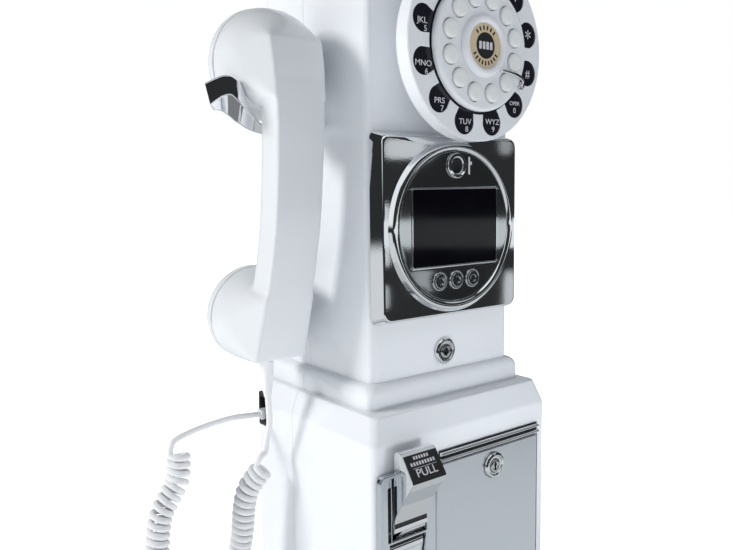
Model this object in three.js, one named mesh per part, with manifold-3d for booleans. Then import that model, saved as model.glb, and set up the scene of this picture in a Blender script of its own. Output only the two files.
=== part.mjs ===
// A corded wall telephone in the style of a 1950s pay telephone, modelled in
// millimetres with +Z up. The front faces -Y, the wall is at +Y and the handset
// hangs on the -X side. The origin is the centre of the bottom face.

import * as THREE from 'three';
import { mergeVertices } from 'three/addons/utils/BufferGeometryUtils.js';
import { ConvexGeometry } from 'three/addons/geometries/ConvexGeometry.js';
import Module from 'manifold-3d';

const wasm = await Module();
wasm.setup();

// ---------------------------------------------------------------- dimensions

const GAP = 0.3;                 // clearance between neighbouring pieces
const PAST = 5;                  // how far a cutting tool reaches past a surface
const EVERYTHING = 400;          // a reach that is longer than the whole telephone
const WALL = 3;                  // thickness of the moulded housing

const BACK = 68;                 // plane of the wall
const SPLIT = 19.5;              // parting plane of the front and rear covers

const LOWER_HALF = 76;           // half width of the vault housing
const LOWER_FRONT = -68;         // front plane of the vault housing
const LOWER_TOP = 151.3;         // where the vault housing starts to slope in
const LEDGE = 166.5;             // flat ledge above the slope
const LEDGE_IN = 5;              // how far the slope leans in

const UPPER_HALF = 60.5;         // half width of the upper housing
const UPPER_FRONT = -46.5;       // front plane of the upper housing
const UPPER_TOP = 472;
const CROWN = 16;                // rounding of the top edges
const MOULDING = 5.6;            // how far the moulding stands out
const MOULDING_FOOT = 175;       // where its quarter round starts
const MOULDING_RISE = 6.7;       // height of the quarter round

const KEYHOLES = [[-36, 150], [36, 150], [-36, 418], [36, 418]];  // x and z in the back
const KEYHOLE = { head: 4.5, slot: 2.2, rise: 11 };
const BOARD_POSTS = [[-38, 206], [-38, 324], [38, 206], [38, 324]];
const MAIN_BOARD = { half: 45, front: 56, back: 57.6, bottom: 200, top: 330 };

const DIAL_Z = 382;              // height of the dial's axis
const DIAL_OPENING_R = 24;       // hole in the housing behind the dial
const DIAL_R = 55.3;
const DIAL_FACE = -30.2;         // front of the dial, from the housing's front
const FACE_THICK = 0.8;
const HUB_R = 37.9;              // raised disc that carries the keys
const HUB_FRONT = DIAL_FACE - 4;
const HUB_BACK = DIAL_FACE + 0.5;
const KEY_RING_R = 27.8;         // circle on which the keys stand
const KEY_R = 5.4;
const KEY_TRAVEL_ROOM = 1.5;
const LOBE_TIP_R = 53;           // circle that the dark lobes reach out to
const LOBE_R = 7.9;

const PLATE_Z = 275;             // height of the display unit's centre
const PLATE_OPENING = { half: 44, below: 38, above: 44 };  // hole in the housing behind
const PLATE_W = 120;
const PLATE_H = 116.4;
const PLATE_FACE = -9.4;
const RING_OUTER_R = 53.1;
const RING_INNER_R = 47;
const RING_FACE = -12.3;
const PANEL_FACE = -11.3;
const WINDOW_W = 73.4;
const WINDOW_H = 48.3;
const BUTTON_SPACING = 14.2;
const BUTTON_Z = -33.4;          // below the centre of the display unit
const BUTTON_R = 4.6;
const BEZEL_Z = 38;              // above the centre of the display unit

const LOCK_R = 8.7;              // bezel of both cam locks
const BARREL_R = 6.4;
const PLUG_R = 4.5;
const UPPER_LOCK_Z = 194;
const VAULT_LOCK = { x: 22.7, z: 118.3 };

const DOOR = { left: -25.2, bottom: 13.7, top: 129.5, front: -69, thick: 3 };
const DOOR_PIN = { x: 64.6, y: -66 };
const DOOR_KNUCKLE_R = 3;
const RAIL = { left: -25.5, right: 66, bottom: 130.6, top: 138.4 };

const RETURN = { left: -74.5, right: -27.5, bottom: 13.7, top: 134.5, front: -70.9 };
const LEVER = { left: -64.5, right: -38.5 };
const LEVER_PIN = { y: -67.5, z: 97.2 };
const FLAP = { left: -66.2, right: -39.2, bottom: 32, top: 90 };
const FLAP_PIN = { y: -66.5, z: 88.5 };
const EARS = [[-69.6, -67.1], [-37.6, -35.2]];       // lugs that hold both pins
const EARS_HEIGHT = [85.8, 101];
const PIN_ENDS = [-69, -35.8];
const LEVER_OPENING = [[-65.1, -37.9], [93, 105.8]];
const FLAP_OPENING = [[-66.8, -38.4], [31, 91.6]];
const BEZEL_SLOT = [[-67.4, -64.4], [107.5, 126.7]];
const COIN_CUP = { x: [-71.5, -34.5], y: [-63.6, -24], z: [27.3, 92], wall: 1.5 };

const HOOK_PIN = { x: -52, z: 336 };
const HOOK_NEAR = 3;             // hook's extent in Y
const HOOK_FAR = 13;
const HOOK_SLOT = [329, 343];    // its slot in the side wall
const CRADLE_R = 35.5;           // cradle's arc around the ear cup

const HANDSET = { x: -97, y: -20, z: 295 };
const HANDSET_TILT = 6;          // degrees, top towards the front
const HANDLE_HALF = 16.3;
const HANDLE_DEPTH = 22;
const EAR = { z: 76, r: 33, rim: 38.5, face: 48 };      // its cap starts at the rim
const MOUTH = { z: -79, r: 30.5, rim: 41.5, face: 51 };
const CUP_SIDES = 28;

const CORD_R = 2;
const COIL_R = 8;
const RELIEF_LENGTH = 17;        // cone where the cord leaves the mouth cup

const JACK = { bottom: 134, top: 157, near: 53, far: 64.6 };

// ----------------------------------------------------------------- materials

function finish(colour, roughness, metalness) {
  return new THREE.MeshStandardMaterial({ color: colour, roughness, metalness });
}

const WHITE = finish(0xf0f1f3, 0.22, 0);
const CREAM = finish(0xd6c49a, 0.45, 0);
const BLACK = finish(0x0c0c0f, 0.3, 0);
const GLASS = finish(0x050507, 0.06, 0);
const CHROME = finish(0xc9ccd0, 0.08, 1);
const SATIN = finish(0xc4c7cb, 0.34, 1);
const STEEL = finish(0x9fa3a8, 0.4, 1);
const BOARD = finish(0x1e5b3a, 0.6, 0);
const RUBBER = finish(0xe9e9ea, 0.55, 0);

// ------------------------------------------------------------- solid helpers

const FRONTWARDS = new THREE.Matrix4().makeRotationX(Math.PI / 2);
const SIDEWAYS = new THREE.Matrix4().set(0, 0, 1, 0, 1, 0, 0, 0, 0, 1, 0, 0, 0, 0, 0, 1);

function signedVolume(geometry) {
  const position = geometry.attributes.position;
  const index = geometry.index.array;
  const [a, b, c] = [new THREE.Vector3(), new THREE.Vector3(), new THREE.Vector3()];
  let volume = 0;
  for (let i = 0; i < index.length; i += 3) {
    a.fromBufferAttribute(position, index[i]);
    b.fromBufferAttribute(position, index[i + 1]);
    c.fromBufferAttribute(position, index[i + 2]);
    volume += a.dot(b.cross(c)) / 6;
  }
  return volume;
}

// Turns a closed three.js geometry into a manifold solid.
function solid(source) {
  const bare = source.clone();
  bare.deleteAttribute('normal');
  bare.deleteAttribute('uv');
  const geometry = mergeVertices(bare, 1e-4);
  const flip = signedVolume(geometry) < 0;
  const index = geometry.index.array;
  const triangles = [];
  for (let i = 0; i < index.length; i += 3) {
    const [a, b, c] = [index[i], index[i + 1], index[i + 2]];
    if (a !== b && b !== c && c !== a) triangles.push(a, flip ? c : b, flip ? b : c);
  }
  return new wasm.Manifold(new wasm.Mesh({
    numProp: 3,
    vertProperties: new Float32Array(geometry.attributes.position.array),
    triVerts: new Uint32Array(triangles),
  }));
}

function toGeometry(body) {
  const mesh = body.getMesh();
  const geometry = new THREE.BufferGeometry();
  geometry.setAttribute('position', new THREE.BufferAttribute(mesh.vertProperties, 3));
  geometry.setIndex(new THREE.BufferAttribute(mesh.triVerts, 1));
  geometry.computeVertexNormals();
  return geometry;
}

function part(name, body, material) {
  const mesh = new THREE.Mesh(toGeometry(body), material);
  mesh.name = name;
  return mesh;
}

// A box given by its low and high limits on each axis.
function block([x0, x1], [y0, y1], [z0, z1]) {
  const box = new THREE.BoxGeometry(x1 - x0, y1 - y0, z1 - z0);
  return solid(box.translate((x0 + x1) / 2, (y0 + y1) / 2, (z0 + z1) / 2));
}

// A round bar along Y from y0 to y1 at (x, z).
function barY(radius, y0, y1, x = 0, z = 0, sides = 20) {
  const bar = new THREE.CylinderGeometry(radius, radius, y1 - y0, sides);
  return solid(bar.translate(x, (y0 + y1) / 2, z));
}

// A round bar along X from x0 to x1 at (y, z).
function barX(radius, x0, x1, y, z, sides = 16) {
  const bar = new THREE.CylinderGeometry(radius, radius, x1 - x0, sides);
  return solid(bar.rotateZ(Math.PI / 2).translate((x0 + x1) / 2, y, z));
}

// A round bar along Z from z0 to z1 at (x, y).
function barZ(radius, z0, z1, x, y, sides = 16) {
  const bar = new THREE.CylinderGeometry(radius, radius, z1 - z0, sides);
  return solid(bar.rotateX(Math.PI / 2).translate(x, y, (z0 + z1) / 2));
}

// A solid of revolution about the Y axis. Points are [radius, y].
function turned(points, sides = 36) {
  const profile = points.map(([radius, y]) => new THREE.Vector2(radius, y));
  return solid(new THREE.LatheGeometry(profile, sides));
}

function roundedRectangle(width, height, radius) {
  const [w, h] = [width / 2, height / 2];
  const shape = new THREE.Shape();
  shape.moveTo(-w + radius, -h);
  shape.lineTo(w - radius, -h);
  shape.absarc(w - radius, -h + radius, radius, -Math.PI / 2, 0);
  shape.lineTo(w, h - radius);
  shape.absarc(w - radius, h - radius, radius, 0, Math.PI / 2);
  shape.lineTo(-w + radius, h);
  shape.absarc(-w + radius, h - radius, radius, Math.PI / 2, Math.PI);
  shape.lineTo(-w, -h + radius);
  shape.absarc(-w + radius, -h + radius, radius, Math.PI, Math.PI * 1.5);
  return shape;
}

// A flat plate whose outline is drawn in X and Z, with its back at yBack.
function facePlate(shape, yBack, thickness, curveSegments = 4) {
  const plate = new THREE.ExtrudeGeometry(shape, {
    depth: thickness, bevelEnabled: false, curveSegments,
  });
  return solid(plate.applyMatrix4(FRONTWARDS).translate(0, yBack, 0));
}

// A bar along X whose outline is drawn in Y and Z.
function sideProfile(shape, x0, x1, curveSegments = 6) {
  const bar = new THREE.ExtrudeGeometry(shape, {
    depth: x1 - x0, bevelEnabled: false, curveSegments,
  });
  return solid(bar.applyMatrix4(SIDEWAYS).translate(x0, 0, 0));
}

function outline(points) {
  return new THREE.Shape(points.map(([a, b]) => new THREE.Vector2(a, b)));
}

function union(...bodies) {
  return bodies.reduce((whole, body) => whole.add(body));
}

function cut(body, ...tools) {
  return tools.reduce((rest, tool) => rest.subtract(tool), body);
}

// ------------------------------------------------------------ housing shells

const CORNER_STEPS = 2;

// One level of the housing: a rectangle with rounded corners in plan.
function planOutline(half, front, back, radius) {
  const corners = [
    [half - radius, front + radius, -Math.PI / 2],
    [half - radius, back - radius, 0],
    [-half + radius, back - radius, Math.PI / 2],
    [-half + radius, front + radius, Math.PI],
  ];
  return corners.flatMap(([x, y, start]) =>
    Array.from({ length: CORNER_STEPS + 1 }, (_, i) => {
      const angle = start + (i / CORNER_STEPS) * (Math.PI / 2);
      return [x + radius * Math.cos(angle), y + radius * Math.sin(angle)];
    }));
}

// Skins a stack of levels { z, half, front, back, radius } from the bottom up.
function loft(levels) {
  const rings = levels.map(({ z, half, front, back, radius }) =>
    planOutline(half, front, back, radius).map(([x, y]) => [x, y, z]));
  const count = rings[0].length;
  const vertices = rings.flat(2);
  const index = [];
  for (let level = 0; level + 1 < rings.length; level += 1) {
    for (let i = 0; i < count; i += 1) {
      const [a, b] = [level * count + i, level * count + (i + 1) % count];
      index.push(a, b, b + count, a, b + count, a + count);
    }
  }
  const top = (rings.length - 1) * count;
  for (let i = 1; i + 1 < count; i += 1) {
    index.push(0, i + 1, i, top, top + i, top + i + 1);
  }
  const geometry = new THREE.BufferGeometry();
  geometry.setAttribute('position', new THREE.Float32BufferAttribute(vertices, 3));
  geometry.setIndex(index);
  return solid(geometry);
}

function quarter(steps) {
  return Array.from({ length: steps + 1 }, (_, i) => (i / steps) * (Math.PI / 2));
}

function outerLevels() {
  const lower = { half: LOWER_HALF, front: LOWER_FRONT, back: BACK, radius: 4 };
  const upper = { half: UPPER_HALF, front: UPPER_FRONT, back: BACK, radius: 5 };
  const grown = (by) => ({ ...upper, half: UPPER_HALF + by, front: UPPER_FRONT - by });
  const moulding = quarter(3).map((angle) => ({
    z: MOULDING_FOOT + MOULDING_RISE * Math.sin(angle),
    ...grown(MOULDING * Math.cos(angle)),
  }));
  const crown = quarter(4).map((angle) => {
    const inset = CROWN * (1 - Math.cos(angle));
    return {
      z: UPPER_TOP - CROWN * (1 - Math.sin(angle)),
      half: UPPER_HALF - inset,
      front: UPPER_FRONT + inset,
      back: BACK,
      radius: 5,
    };
  });
  return [
    { z: 0, ...lower, half: LOWER_HALF - 1.5, front: LOWER_FRONT + 1.5 },
    { z: 1.5, ...lower },
    { z: LOWER_TOP, ...lower },
    { z: LEDGE, ...lower, half: LOWER_HALF - LEDGE_IN, front: LOWER_FRONT + LEDGE_IN },
    { z: LEDGE, ...grown(MOULDING) },
    ...moulding,
    ...crown,
  ];
}

function innerLevels() {
  const lower = {
    half: LOWER_HALF - WALL, front: LOWER_FRONT + WALL, back: BACK - WALL, radius: 2,
  };
  const upper = {
    half: UPPER_HALF - WALL, front: UPPER_FRONT + WALL, back: BACK - WALL, radius: 2.5,
  };
  const crown = quarter(2).map((angle) => {
    const inset = (CROWN - WALL) * (1 - Math.cos(angle));
    return {
      ...upper,
      z: UPPER_TOP - WALL - (CROWN - WALL) * (1 - Math.sin(angle)),
      half: upper.half - inset,
      front: upper.front + inset,
    };
  });
  return [
    { z: WALL, ...lower },
    { z: LOWER_TOP - 1, ...lower },
    { z: LEDGE - WALL, ...lower, half: lower.half - LEDGE_IN, front: lower.front + LEDGE_IN },
    { z: LEDGE - WALL, ...upper },
    ...crown,
  ];
}

const COIN_SLOTS = [-18, 0, 18];

function coinSlot(x, zBottom, zTop) {
  return block([x - 1.2, x + 1.2], [-37, -13], [zBottom, zTop]);
}

function frontCover(shell) {
  const half = shell.intersect(
    block([-EVERYTHING, EVERYTHING], [-EVERYTHING, SPLIT], [-PAST, EVERYTHING + UPPER_TOP]));
  const bossWidth = [-UPPER_HALF + 1, HOOK_PIN.x + 6];
  const hookBosses = union(
    block(bossWidth, [-6, HOOK_NEAR - 1.5], HOOK_SLOT),
    block(bossWidth, [HOOK_FAR + 1.5, SPLIT - 0.4], HOOK_SLOT));
  const throughUpper = [UPPER_FRONT - PAST, UPPER_FRONT + PAST];
  const throughLower = [LOWER_FRONT - PAST, LOWER_FRONT + PAST];
  const { half: plateHalf, below, above } = PLATE_OPENING;
  return cut(half.add(hookBosses),
    barY(DIAL_OPENING_R, ...throughUpper, 0, DIAL_Z),
    block([-plateHalf, plateHalf], throughUpper, [PLATE_Z - below, PLATE_Z + above]),
    barY(BARREL_R + GAP, ...throughUpper, 0, UPPER_LOCK_Z),
    block([DOOR.left - 0.5, DOOR_PIN.x + 3.4], throughLower, [DOOR.bottom - 0.5, DOOR.top + 0.5]),
    barZ(1 + GAP, DOOR.bottom - 3, DOOR.top + 3, DOOR_PIN.x, DOOR_PIN.y),
    block([-70, -34], throughLower, [27, 106]),
    block([-68, -64], throughLower, [105, 127.5]),
    block([-UPPER_HALF - PAST, -UPPER_HALF + PAST], [HOOK_NEAR - 0.6, HOOK_FAR + 0.6],
      [HOOK_SLOT[0], HOOK_SLOT[1] + 1]),
    barY(1.5 + GAP, -5, SPLIT - 0.9, HOOK_PIN.x, HOOK_PIN.z),
    ...COIN_SLOTS.map((x) => coinSlot(x, UPPER_TOP - 10, UPPER_TOP + 10)));
}

// A round hole that the head of a wall screw passes, with a narrow slot above it.
function keyhole([x, z]) {
  const through = [BACK - PAST, BACK + PAST];
  const { head, slot, rise } = KEYHOLE;
  return barY(head, ...through, x, z).add(block([x - slot, x + slot], through, [z, z + rise]));
}

function rearCover(shell) {
  const half = shell.intersect(
    block([-EVERYTHING, EVERYTHING], [SPLIT + GAP, EVERYTHING], [-PAST, EVERYTHING + UPPER_TOP]));
  const posts = BOARD_POSTS.map(([x, z]) =>
    barY(3, MAIN_BOARD.back + GAP, BACK - WALL + 1, x, z, 12));
  return cut(union(half, ...posts),
    ...KEYHOLES.map(keyhole),
    block([-LOWER_HALF - PAST, -LOWER_HALF + 8],
      [JACK.near - GAP, JACK.far + GAP], [JACK.bottom - GAP, JACK.top + GAP]));
}

function coinGauge() {
  const top = roundedRectangle(64, 30, 6);
  const body = new THREE.ExtrudeGeometry(top, {
    depth: 4.5, bevelEnabled: true, bevelThickness: 2, bevelSize: 2, bevelOffset: -2,
    bevelSegments: 2, curveSegments: 3,
  });
  const placed = solid(body.translate(0, -25, UPPER_TOP + GAP + 2));
  return cut(placed, ...COIN_SLOTS.map((x) => coinSlot(x, UPPER_TOP - 2, UPPER_TOP + 20)));
}

// ---------------------------------------------------------------------- dial

const KEY_NAMES = [
  'key_star', 'key_1', 'key_2', 'key_3', 'key_4', 'key_5',
  'key_6', 'key_7', 'key_8', 'key_9', 'key_0', 'key_hash',
];
const KEY_STEP = Math.PI / 6;

function keyAngle(i) {
  return KEY_STEP * (i + 0.5);
}

function dialHousing() {
  const floor = -15.5;
  const seat = DIAL_FACE + 2.4;
  const lip = DIAL_FACE + FACE_THICK + 0.2;
  const lipInner = DIAL_R - 1.1;
  return turned([
    [10, -GAP], [36, -GAP], [36, -10], [52, -16.5], [DIAL_R, -19.5], [DIAL_R, lip],
    [lipInner, lip], [lipInner, seat], [51.6, seat], [51.6, -21], [48, -19.5], [38, floor],
    [10, floor], [10, -GAP],
  ]);
}

function numberPlate() {
  const [inner, outer] = [34.6, DIAL_R - 1.4];
  const front = DIAL_FACE + FACE_THICK + 0.1;
  const back = front + 1.2;
  return turned([[inner, front], [inner, back], [outer, back], [outer, front], [inner, front]], 48);
}

// The opening that one lobe makes: a round tip joined to the gap around the hub.
function lobe() {
  const tip = LOBE_TIP_R - LOBE_R;
  const shape = new THREE.Shape();
  shape.moveTo(HUB_R, -5.9);
  shape.lineTo(tip - 2, -LOBE_R);
  shape.absarc(tip, 0, LOBE_R, -Math.PI / 2, Math.PI / 2);
  shape.lineTo(HUB_R, 5.9);
  return shape;
}

function dialFace() {
  const back = DIAL_FACE + FACE_THICK;
  const inner = HUB_R + 1.4;
  const ring = turned([
    [inner, back], [DIAL_R, back], [DIAL_R - 0.8, DIAL_FACE], [inner, DIAL_FACE], [inner, back],
  ], 48);
  const lobes = KEY_NAMES.map((_, i) =>
    facePlate(lobe(), back + 1, 6, 4).rotate([0, -keyAngle(i) * (180 / Math.PI), 0]));
  return cut(ring, ...lobes);
}

function hubDisc() {
  const [back, front] = [HUB_BACK, HUB_FRONT];
  const edge = quarter(2).map((angle) => [
    HUB_R - 2 * (1 - Math.cos(angle)), front + 2 * (1 - Math.sin(angle)),
  ]);
  const disc = turned([[0, back], [HUB_R, back], ...edge, [0, front]], 48);
  const holes = KEY_NAMES.map((_, i) => {
    const [x, z] = [KEY_RING_R * Math.cos(keyAngle(i)), KEY_RING_R * Math.sin(keyAngle(i))];
    return barY(KEY_R + GAP, front - 2, back + 2, x, z, 14);
  });
  return cut(disc, ...holes);
}

function dialKey() {
  const flange = HUB_BACK + 0.4;
  const dome = quarter(2).map((angle) => [
    KEY_R * Math.cos(angle), HUB_FRONT - 0.3 - 1.4 * Math.sin(angle),
  ]);
  const stemEnd = flange + 1.7;
  return turned([
    [0, stemEnd], [3, stemEnd], [3, flange + 1], [6, flange + 1], [6, flange],
    [KEY_R, flange], ...dome.slice(0, -1), [0, HUB_FRONT - 1.7],
  ], 14);
}

function keypadBoard() {
  const front = HUB_BACK + 2.1 + KEY_TRAVEL_ROOM + 0.5;
  return barY(35, front, front + 1.6, 0, 0, 36);
}

function hubBoss() {
  const base = HUB_FRONT - GAP;
  return turned([
    [13.2, base], [17, base], [17, base - 1], [15.8, base - 2], [14, base - 2],
    [13.2, base - 1.4], [13.2, base],
  ]);
}

function hubLabel() {
  const base = HUB_FRONT - GAP;
  return barY(12.8, base - 1.3, base, 0, 0, 36);
}

// A bent chrome strip that reaches from the dial face over the hub.
function fingerStop() {
  const foot = new THREE.Vector3(35.4, DIAL_FACE - 1.2, -18.7);
  const path = new THREE.CatmullRomCurve3([
    foot,
    new THREE.Vector3(34.4, DIAL_FACE - 6, -18.2),
    new THREE.Vector3(27, DIAL_FACE - 8.2, -16.2),
    new THREE.Vector3(11.6, DIAL_FACE - 8.1, -13.4),
  ]);
  const wire = new THREE.ExtrudeGeometry(circle(1.1, 8), { steps: 12, extrudePath: path });
  const tab = barY(3.2, DIAL_FACE - 1.6, DIAL_FACE - GAP, 37, -19.4, 16);
  return solid(wire).add(tab);
}

function circle(radius, sides) {
  return new THREE.Shape(Array.from({ length: sides }, (_, i) => {
    const angle = (i / sides) * Math.PI * 2;
    return new THREE.Vector2(radius * Math.cos(angle), radius * Math.sin(angle));
  }));
}

function dial() {
  const group = new THREE.Group();
  group.position.set(0, UPPER_FRONT, DIAL_Z);
  group.add(
    part('dial_housing', dialHousing(), WHITE),
    part('number_plate', numberPlate(), BLACK),
    part('dial_face', dialFace(), WHITE),
    part('hub_disc', hubDisc(), WHITE),
    part('keypad_board', keypadBoard(), BOARD),
    part('hub_boss', hubBoss(), WHITE),
    part('hub_label', hubLabel(), CREAM),
    part('finger_stop', fingerStop(), CHROME));
  KEY_NAMES.forEach((name, i) => {
    const key = part(name, dialKey(), WHITE);
    key.position.set(KEY_RING_R * Math.cos(keyAngle(i)), 0, KEY_RING_R * Math.sin(keyAngle(i)));
    group.add(key);
  });
  return group;
}

// -------------------------------------------------------------- display unit

function squarePlate() {
  const plate = facePlate(roundedRectangle(PLATE_W, PLATE_H, 5), -GAP, -PLATE_FACE - GAP - 1.5);
  const nose = facePlate(roundedRectangle(PLATE_W - 3, PLATE_H - 3, 4), -6, -PLATE_FACE - 6);
  const ring = barY(RING_OUTER_R, RING_FACE, PLATE_FACE + 1, 0, 0, 48);
  const pocket = facePlate(roundedRectangle(PLATE_W - 6, PLATE_H - 6, 3), 1, 8.2);
  return cut(union(plate, nose, ring), pocket, barY(RING_INNER_R, -20, 5, 0, 0, 48));
}

const BUTTON_XS = [-BUTTON_SPACING, 0, BUTTON_SPACING];

function displayPanel() {
  const back = PANEL_FACE + 2.4;
  const disc = barY(RING_INNER_R - GAP, PANEL_FACE, back, 0, 0, 48);
  const rims = BUTTON_XS.map((x) => barY(6, PANEL_FACE - 0.6, back, x, BUTTON_Z, 16));
  const holes = BUTTON_XS.map((x) => barY(BUTTON_R + GAP, -20, 0, x, BUTTON_Z, 14));
  const window = facePlate(roundedRectangle(WINDOW_W, WINDOW_H, 1), 0, 20, 2);
  return cut(union(disc, ...rims), ...holes, window, barY(6.3, -20, 0, 0, BEZEL_Z));
}

function displayWindow() {
  const shape = roundedRectangle(WINDOW_W - 2 * GAP, WINDOW_H - 2 * GAP, 1);
  return facePlate(shape, PANEL_FACE + 2.2, 2.4, 2);
}

function displayModule() {
  return block([-38, 38], [PANEL_FACE + 2.7, PANEL_FACE + 6.7], [-26, 26]);
}

function roundBezel() {
  const [face, rest] = [PANEL_FACE - 1.5, PANEL_FACE - GAP];
  return turned([
    [0, -4], [6, -4], [6, rest], [7.85, rest], [7.85, face + 0.6], [7.2, face],
    [5.4, face], [4.6, face + 0.8], [4.6, -6], [0, -6],
  ], 20);
}

function functionButton() {
  const flange = PANEL_FACE + 2.7;
  const dome = quarter(2).map((angle) => [
    BUTTON_R * Math.cos(angle), PANEL_FACE - 0.9 - 1.2 * Math.sin(angle),
  ]);
  return turned([
    [0, flange + 1], [5.5, flange + 1], [5.5, flange], [BUTTON_R, flange],
    ...dome.slice(0, -1), [0, PANEL_FACE - 2.1],
  ], 14);
}

function displayUnit() {
  const group = new THREE.Group();
  group.position.set(0, UPPER_FRONT, PLATE_Z);
  const bezel = part('round_bezel', roundBezel(), CHROME);
  bezel.position.z = BEZEL_Z;
  group.add(
    part('face_plate', squarePlate(), CHROME),
    part('display_panel', displayPanel(), GLASS),
    part('display_window', displayWindow(), GLASS),
    part('display_module', displayModule(), STEEL),
    bezel);
  ['button_left', 'button_middle', 'button_right'].forEach((name, i) => {
    const button = part(name, functionButton(), GLASS);
    button.position.set(BUTTON_XS[i], 0, BUTTON_Z);
    group.add(button);
  });
  return group;
}

// ----------------------------------------------------------------- cam locks

// Local Y is zero on the face that the lock is set in, and the barrel ends at depth.
function lockBody(depth) {
  return turned([
    [PLUG_R + GAP, depth], [BARREL_R, depth], [BARREL_R, -GAP], [LOCK_R, -GAP],
    [LOCK_R, -1.4], [LOCK_R - 1, -2.4], [PLUG_R + 1.4, -2.4], [PLUG_R + GAP, -1.6],
    [PLUG_R + GAP, depth],
  ], 20);
}

function lockPlug(depth, camLength) {
  const plug = barY(PLUG_R, -2, depth + 1.6);
  const cam = block([-3, 3], [depth + GAP, depth + GAP + 1.6], [-4, camLength]);
  const keySlot = block([-0.8, 0.8], [-6, 1.5], [-3, 3]);
  return cut(plug.add(cam), keySlot);
}

function cabinetLock() {
  const group = new THREE.Group();
  group.position.set(0, UPPER_FRONT, UPPER_LOCK_Z);
  group.add(
    part('upper_lock_body', lockBody(8), CHROME),
    part('upper_lock_plug', lockPlug(8, 17), CHROME));
  return group;
}

// ---------------------------------------------------------------- vault door

function doorRail() {
  const middle = (RAIL.bottom + RAIL.top) / 2;
  const quarterHeight = (RAIL.top - RAIL.bottom) / 4;
  const back = LOWER_FRONT - GAP;
  const ribs = [middle - quarterHeight, middle + quarterHeight].map((z) =>
    barX(quarterHeight - 0.05, RAIL.left, RAIL.right, back - 1.4, z, 12));
  const base = block([RAIL.left, RAIL.right], [back - 1.4, back], [RAIL.bottom, RAIL.top]);
  return cut(union(base, ...ribs),
    block([-200, 200], [back, back + 10], [RAIL.bottom - 5, RAIL.top + 5]));
}

function vaultDoor() {
  const { left, bottom, top, front, thick } = DOOR;
  const plan = new THREE.Shape();
  plan.moveTo(left, front);
  plan.lineTo(DOOR_PIN.x, front);
  plan.absarc(DOOR_PIN.x, DOOR_PIN.y, DOOR_KNUCKLE_R, -Math.PI / 2, Math.PI);
  plan.lineTo(left, front + thick);
  const leaf = new THREE.ExtrudeGeometry(plan, {
    depth: top - bottom, bevelEnabled: false, curveSegments: 18,
  });
  return cut(solid(leaf.translate(0, 0, bottom)),
    barZ(1 + GAP, bottom - 5, top + 5, DOOR_PIN.x, DOOR_PIN.y),
    barY(BARREL_R + GAP, front - 5, front + thick + 5, VAULT_LOCK.x, VAULT_LOCK.z));
}

function vaultLock() {
  const group = new THREE.Group();
  group.position.set(VAULT_LOCK.x, DOOR.front, VAULT_LOCK.z);
  group.add(
    part('vault_lock_body', lockBody(6.4), CHROME),
    part('vault_lock_plug', lockPlug(6.4, 10.4), CHROME));
  return group;
}

// --------------------------------------------------------------- coin return

function plateXZ(left, right, bottom, top, radius) {
  const shape = roundedRectangle(right - left, top - bottom, radius);
  const [x, z] = [(left + right) / 2, (bottom + top) / 2];
  return { at: (yBack, thickness) => facePlate(shape, yBack, thickness).translate([x, 0, z]) };
}

function returnBezel() {
  const back = LOWER_FRONT - GAP;
  const { left, right, bottom, top, front } = RETURN;
  const plate = plateXZ(left, right, bottom, top, 5).at(back, back - front);
  const border = plateXZ(left, right, bottom, top, 5).at(back, back - front + 1.2);
  const field = plateXZ(left + 3, right - 5, bottom + 3, top - 3, 3).at(back + 1, 30);
  const ears = EARS.map((width) => block(width, [back - 1, -64], EARS_HEIGHT));
  const openings = [LEVER_OPENING, FLAP_OPENING].map(([x, z]) => block(x, [-80, -60], z));
  const pinHoles = [LEVER_PIN, FLAP_PIN].map(({ y, z }) =>
    barX(1 + GAP, PIN_ENDS[0] - 0.2, PIN_ENDS[1] + 0.2, y, z));
  return cut(union(plate, cut(border, field), ...ears), ...openings, ...pinHoles,
    block(BEZEL_SLOT[0], [-80, LOWER_FRONT + 1], BEZEL_SLOT[1]));
}

// Side view of the pull lever: a hollow-fronted wedge with a sloping label face.
function returnLever() {
  const shape = new THREE.Shape();
  shape.moveTo(LEVER_PIN.y + 2.6, LEVER_PIN.z + 1.9);
  shape.absarc(LEVER_PIN.y, LEVER_PIN.z, 3.2, 0.63, -Math.PI - 0.55, true);
  shape.bezierCurveTo(-71.5, 108, -81, 118, -89, 132.6);
  shape.lineTo(-89, 134);
  shape.lineTo(-79.6, 147.4);
  shape.quadraticCurveTo(-77, 149.2, -72.5, 148);
  shape.lineTo(-72.5, 106);
  const bar = sideProfile(shape, LEVER.left, LEVER.right);
  return cut(bar, barX(1 + GAP, LEVER.left - 5, LEVER.right + 5, LEVER_PIN.y, LEVER_PIN.z));
}

function returnFlap() {
  const { left, right, bottom, top } = FLAP;
  return cut(
    union(
      block([left, right], [-68.6, -67.2], [bottom, top]),
      barX(2.2, left, right, FLAP_PIN.y, FLAP_PIN.z)),
    barX(1 + GAP, left - 5, right + 5, FLAP_PIN.y, FLAP_PIN.z));
}

function coinCup() {
  const { x: [x0, x1], y: [y0, y1], z: [z0, z1], wall } = COIN_CUP;
  return cut(
    block([x0, x1], [y0, y1], [z0, z1]),
    block([x0 + wall, x1 - wall], [y0 - PAST, y1 - wall], [z0 + wall, z1 - wall]));
}

// ---------------------------------------------------------------------- hook

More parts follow.
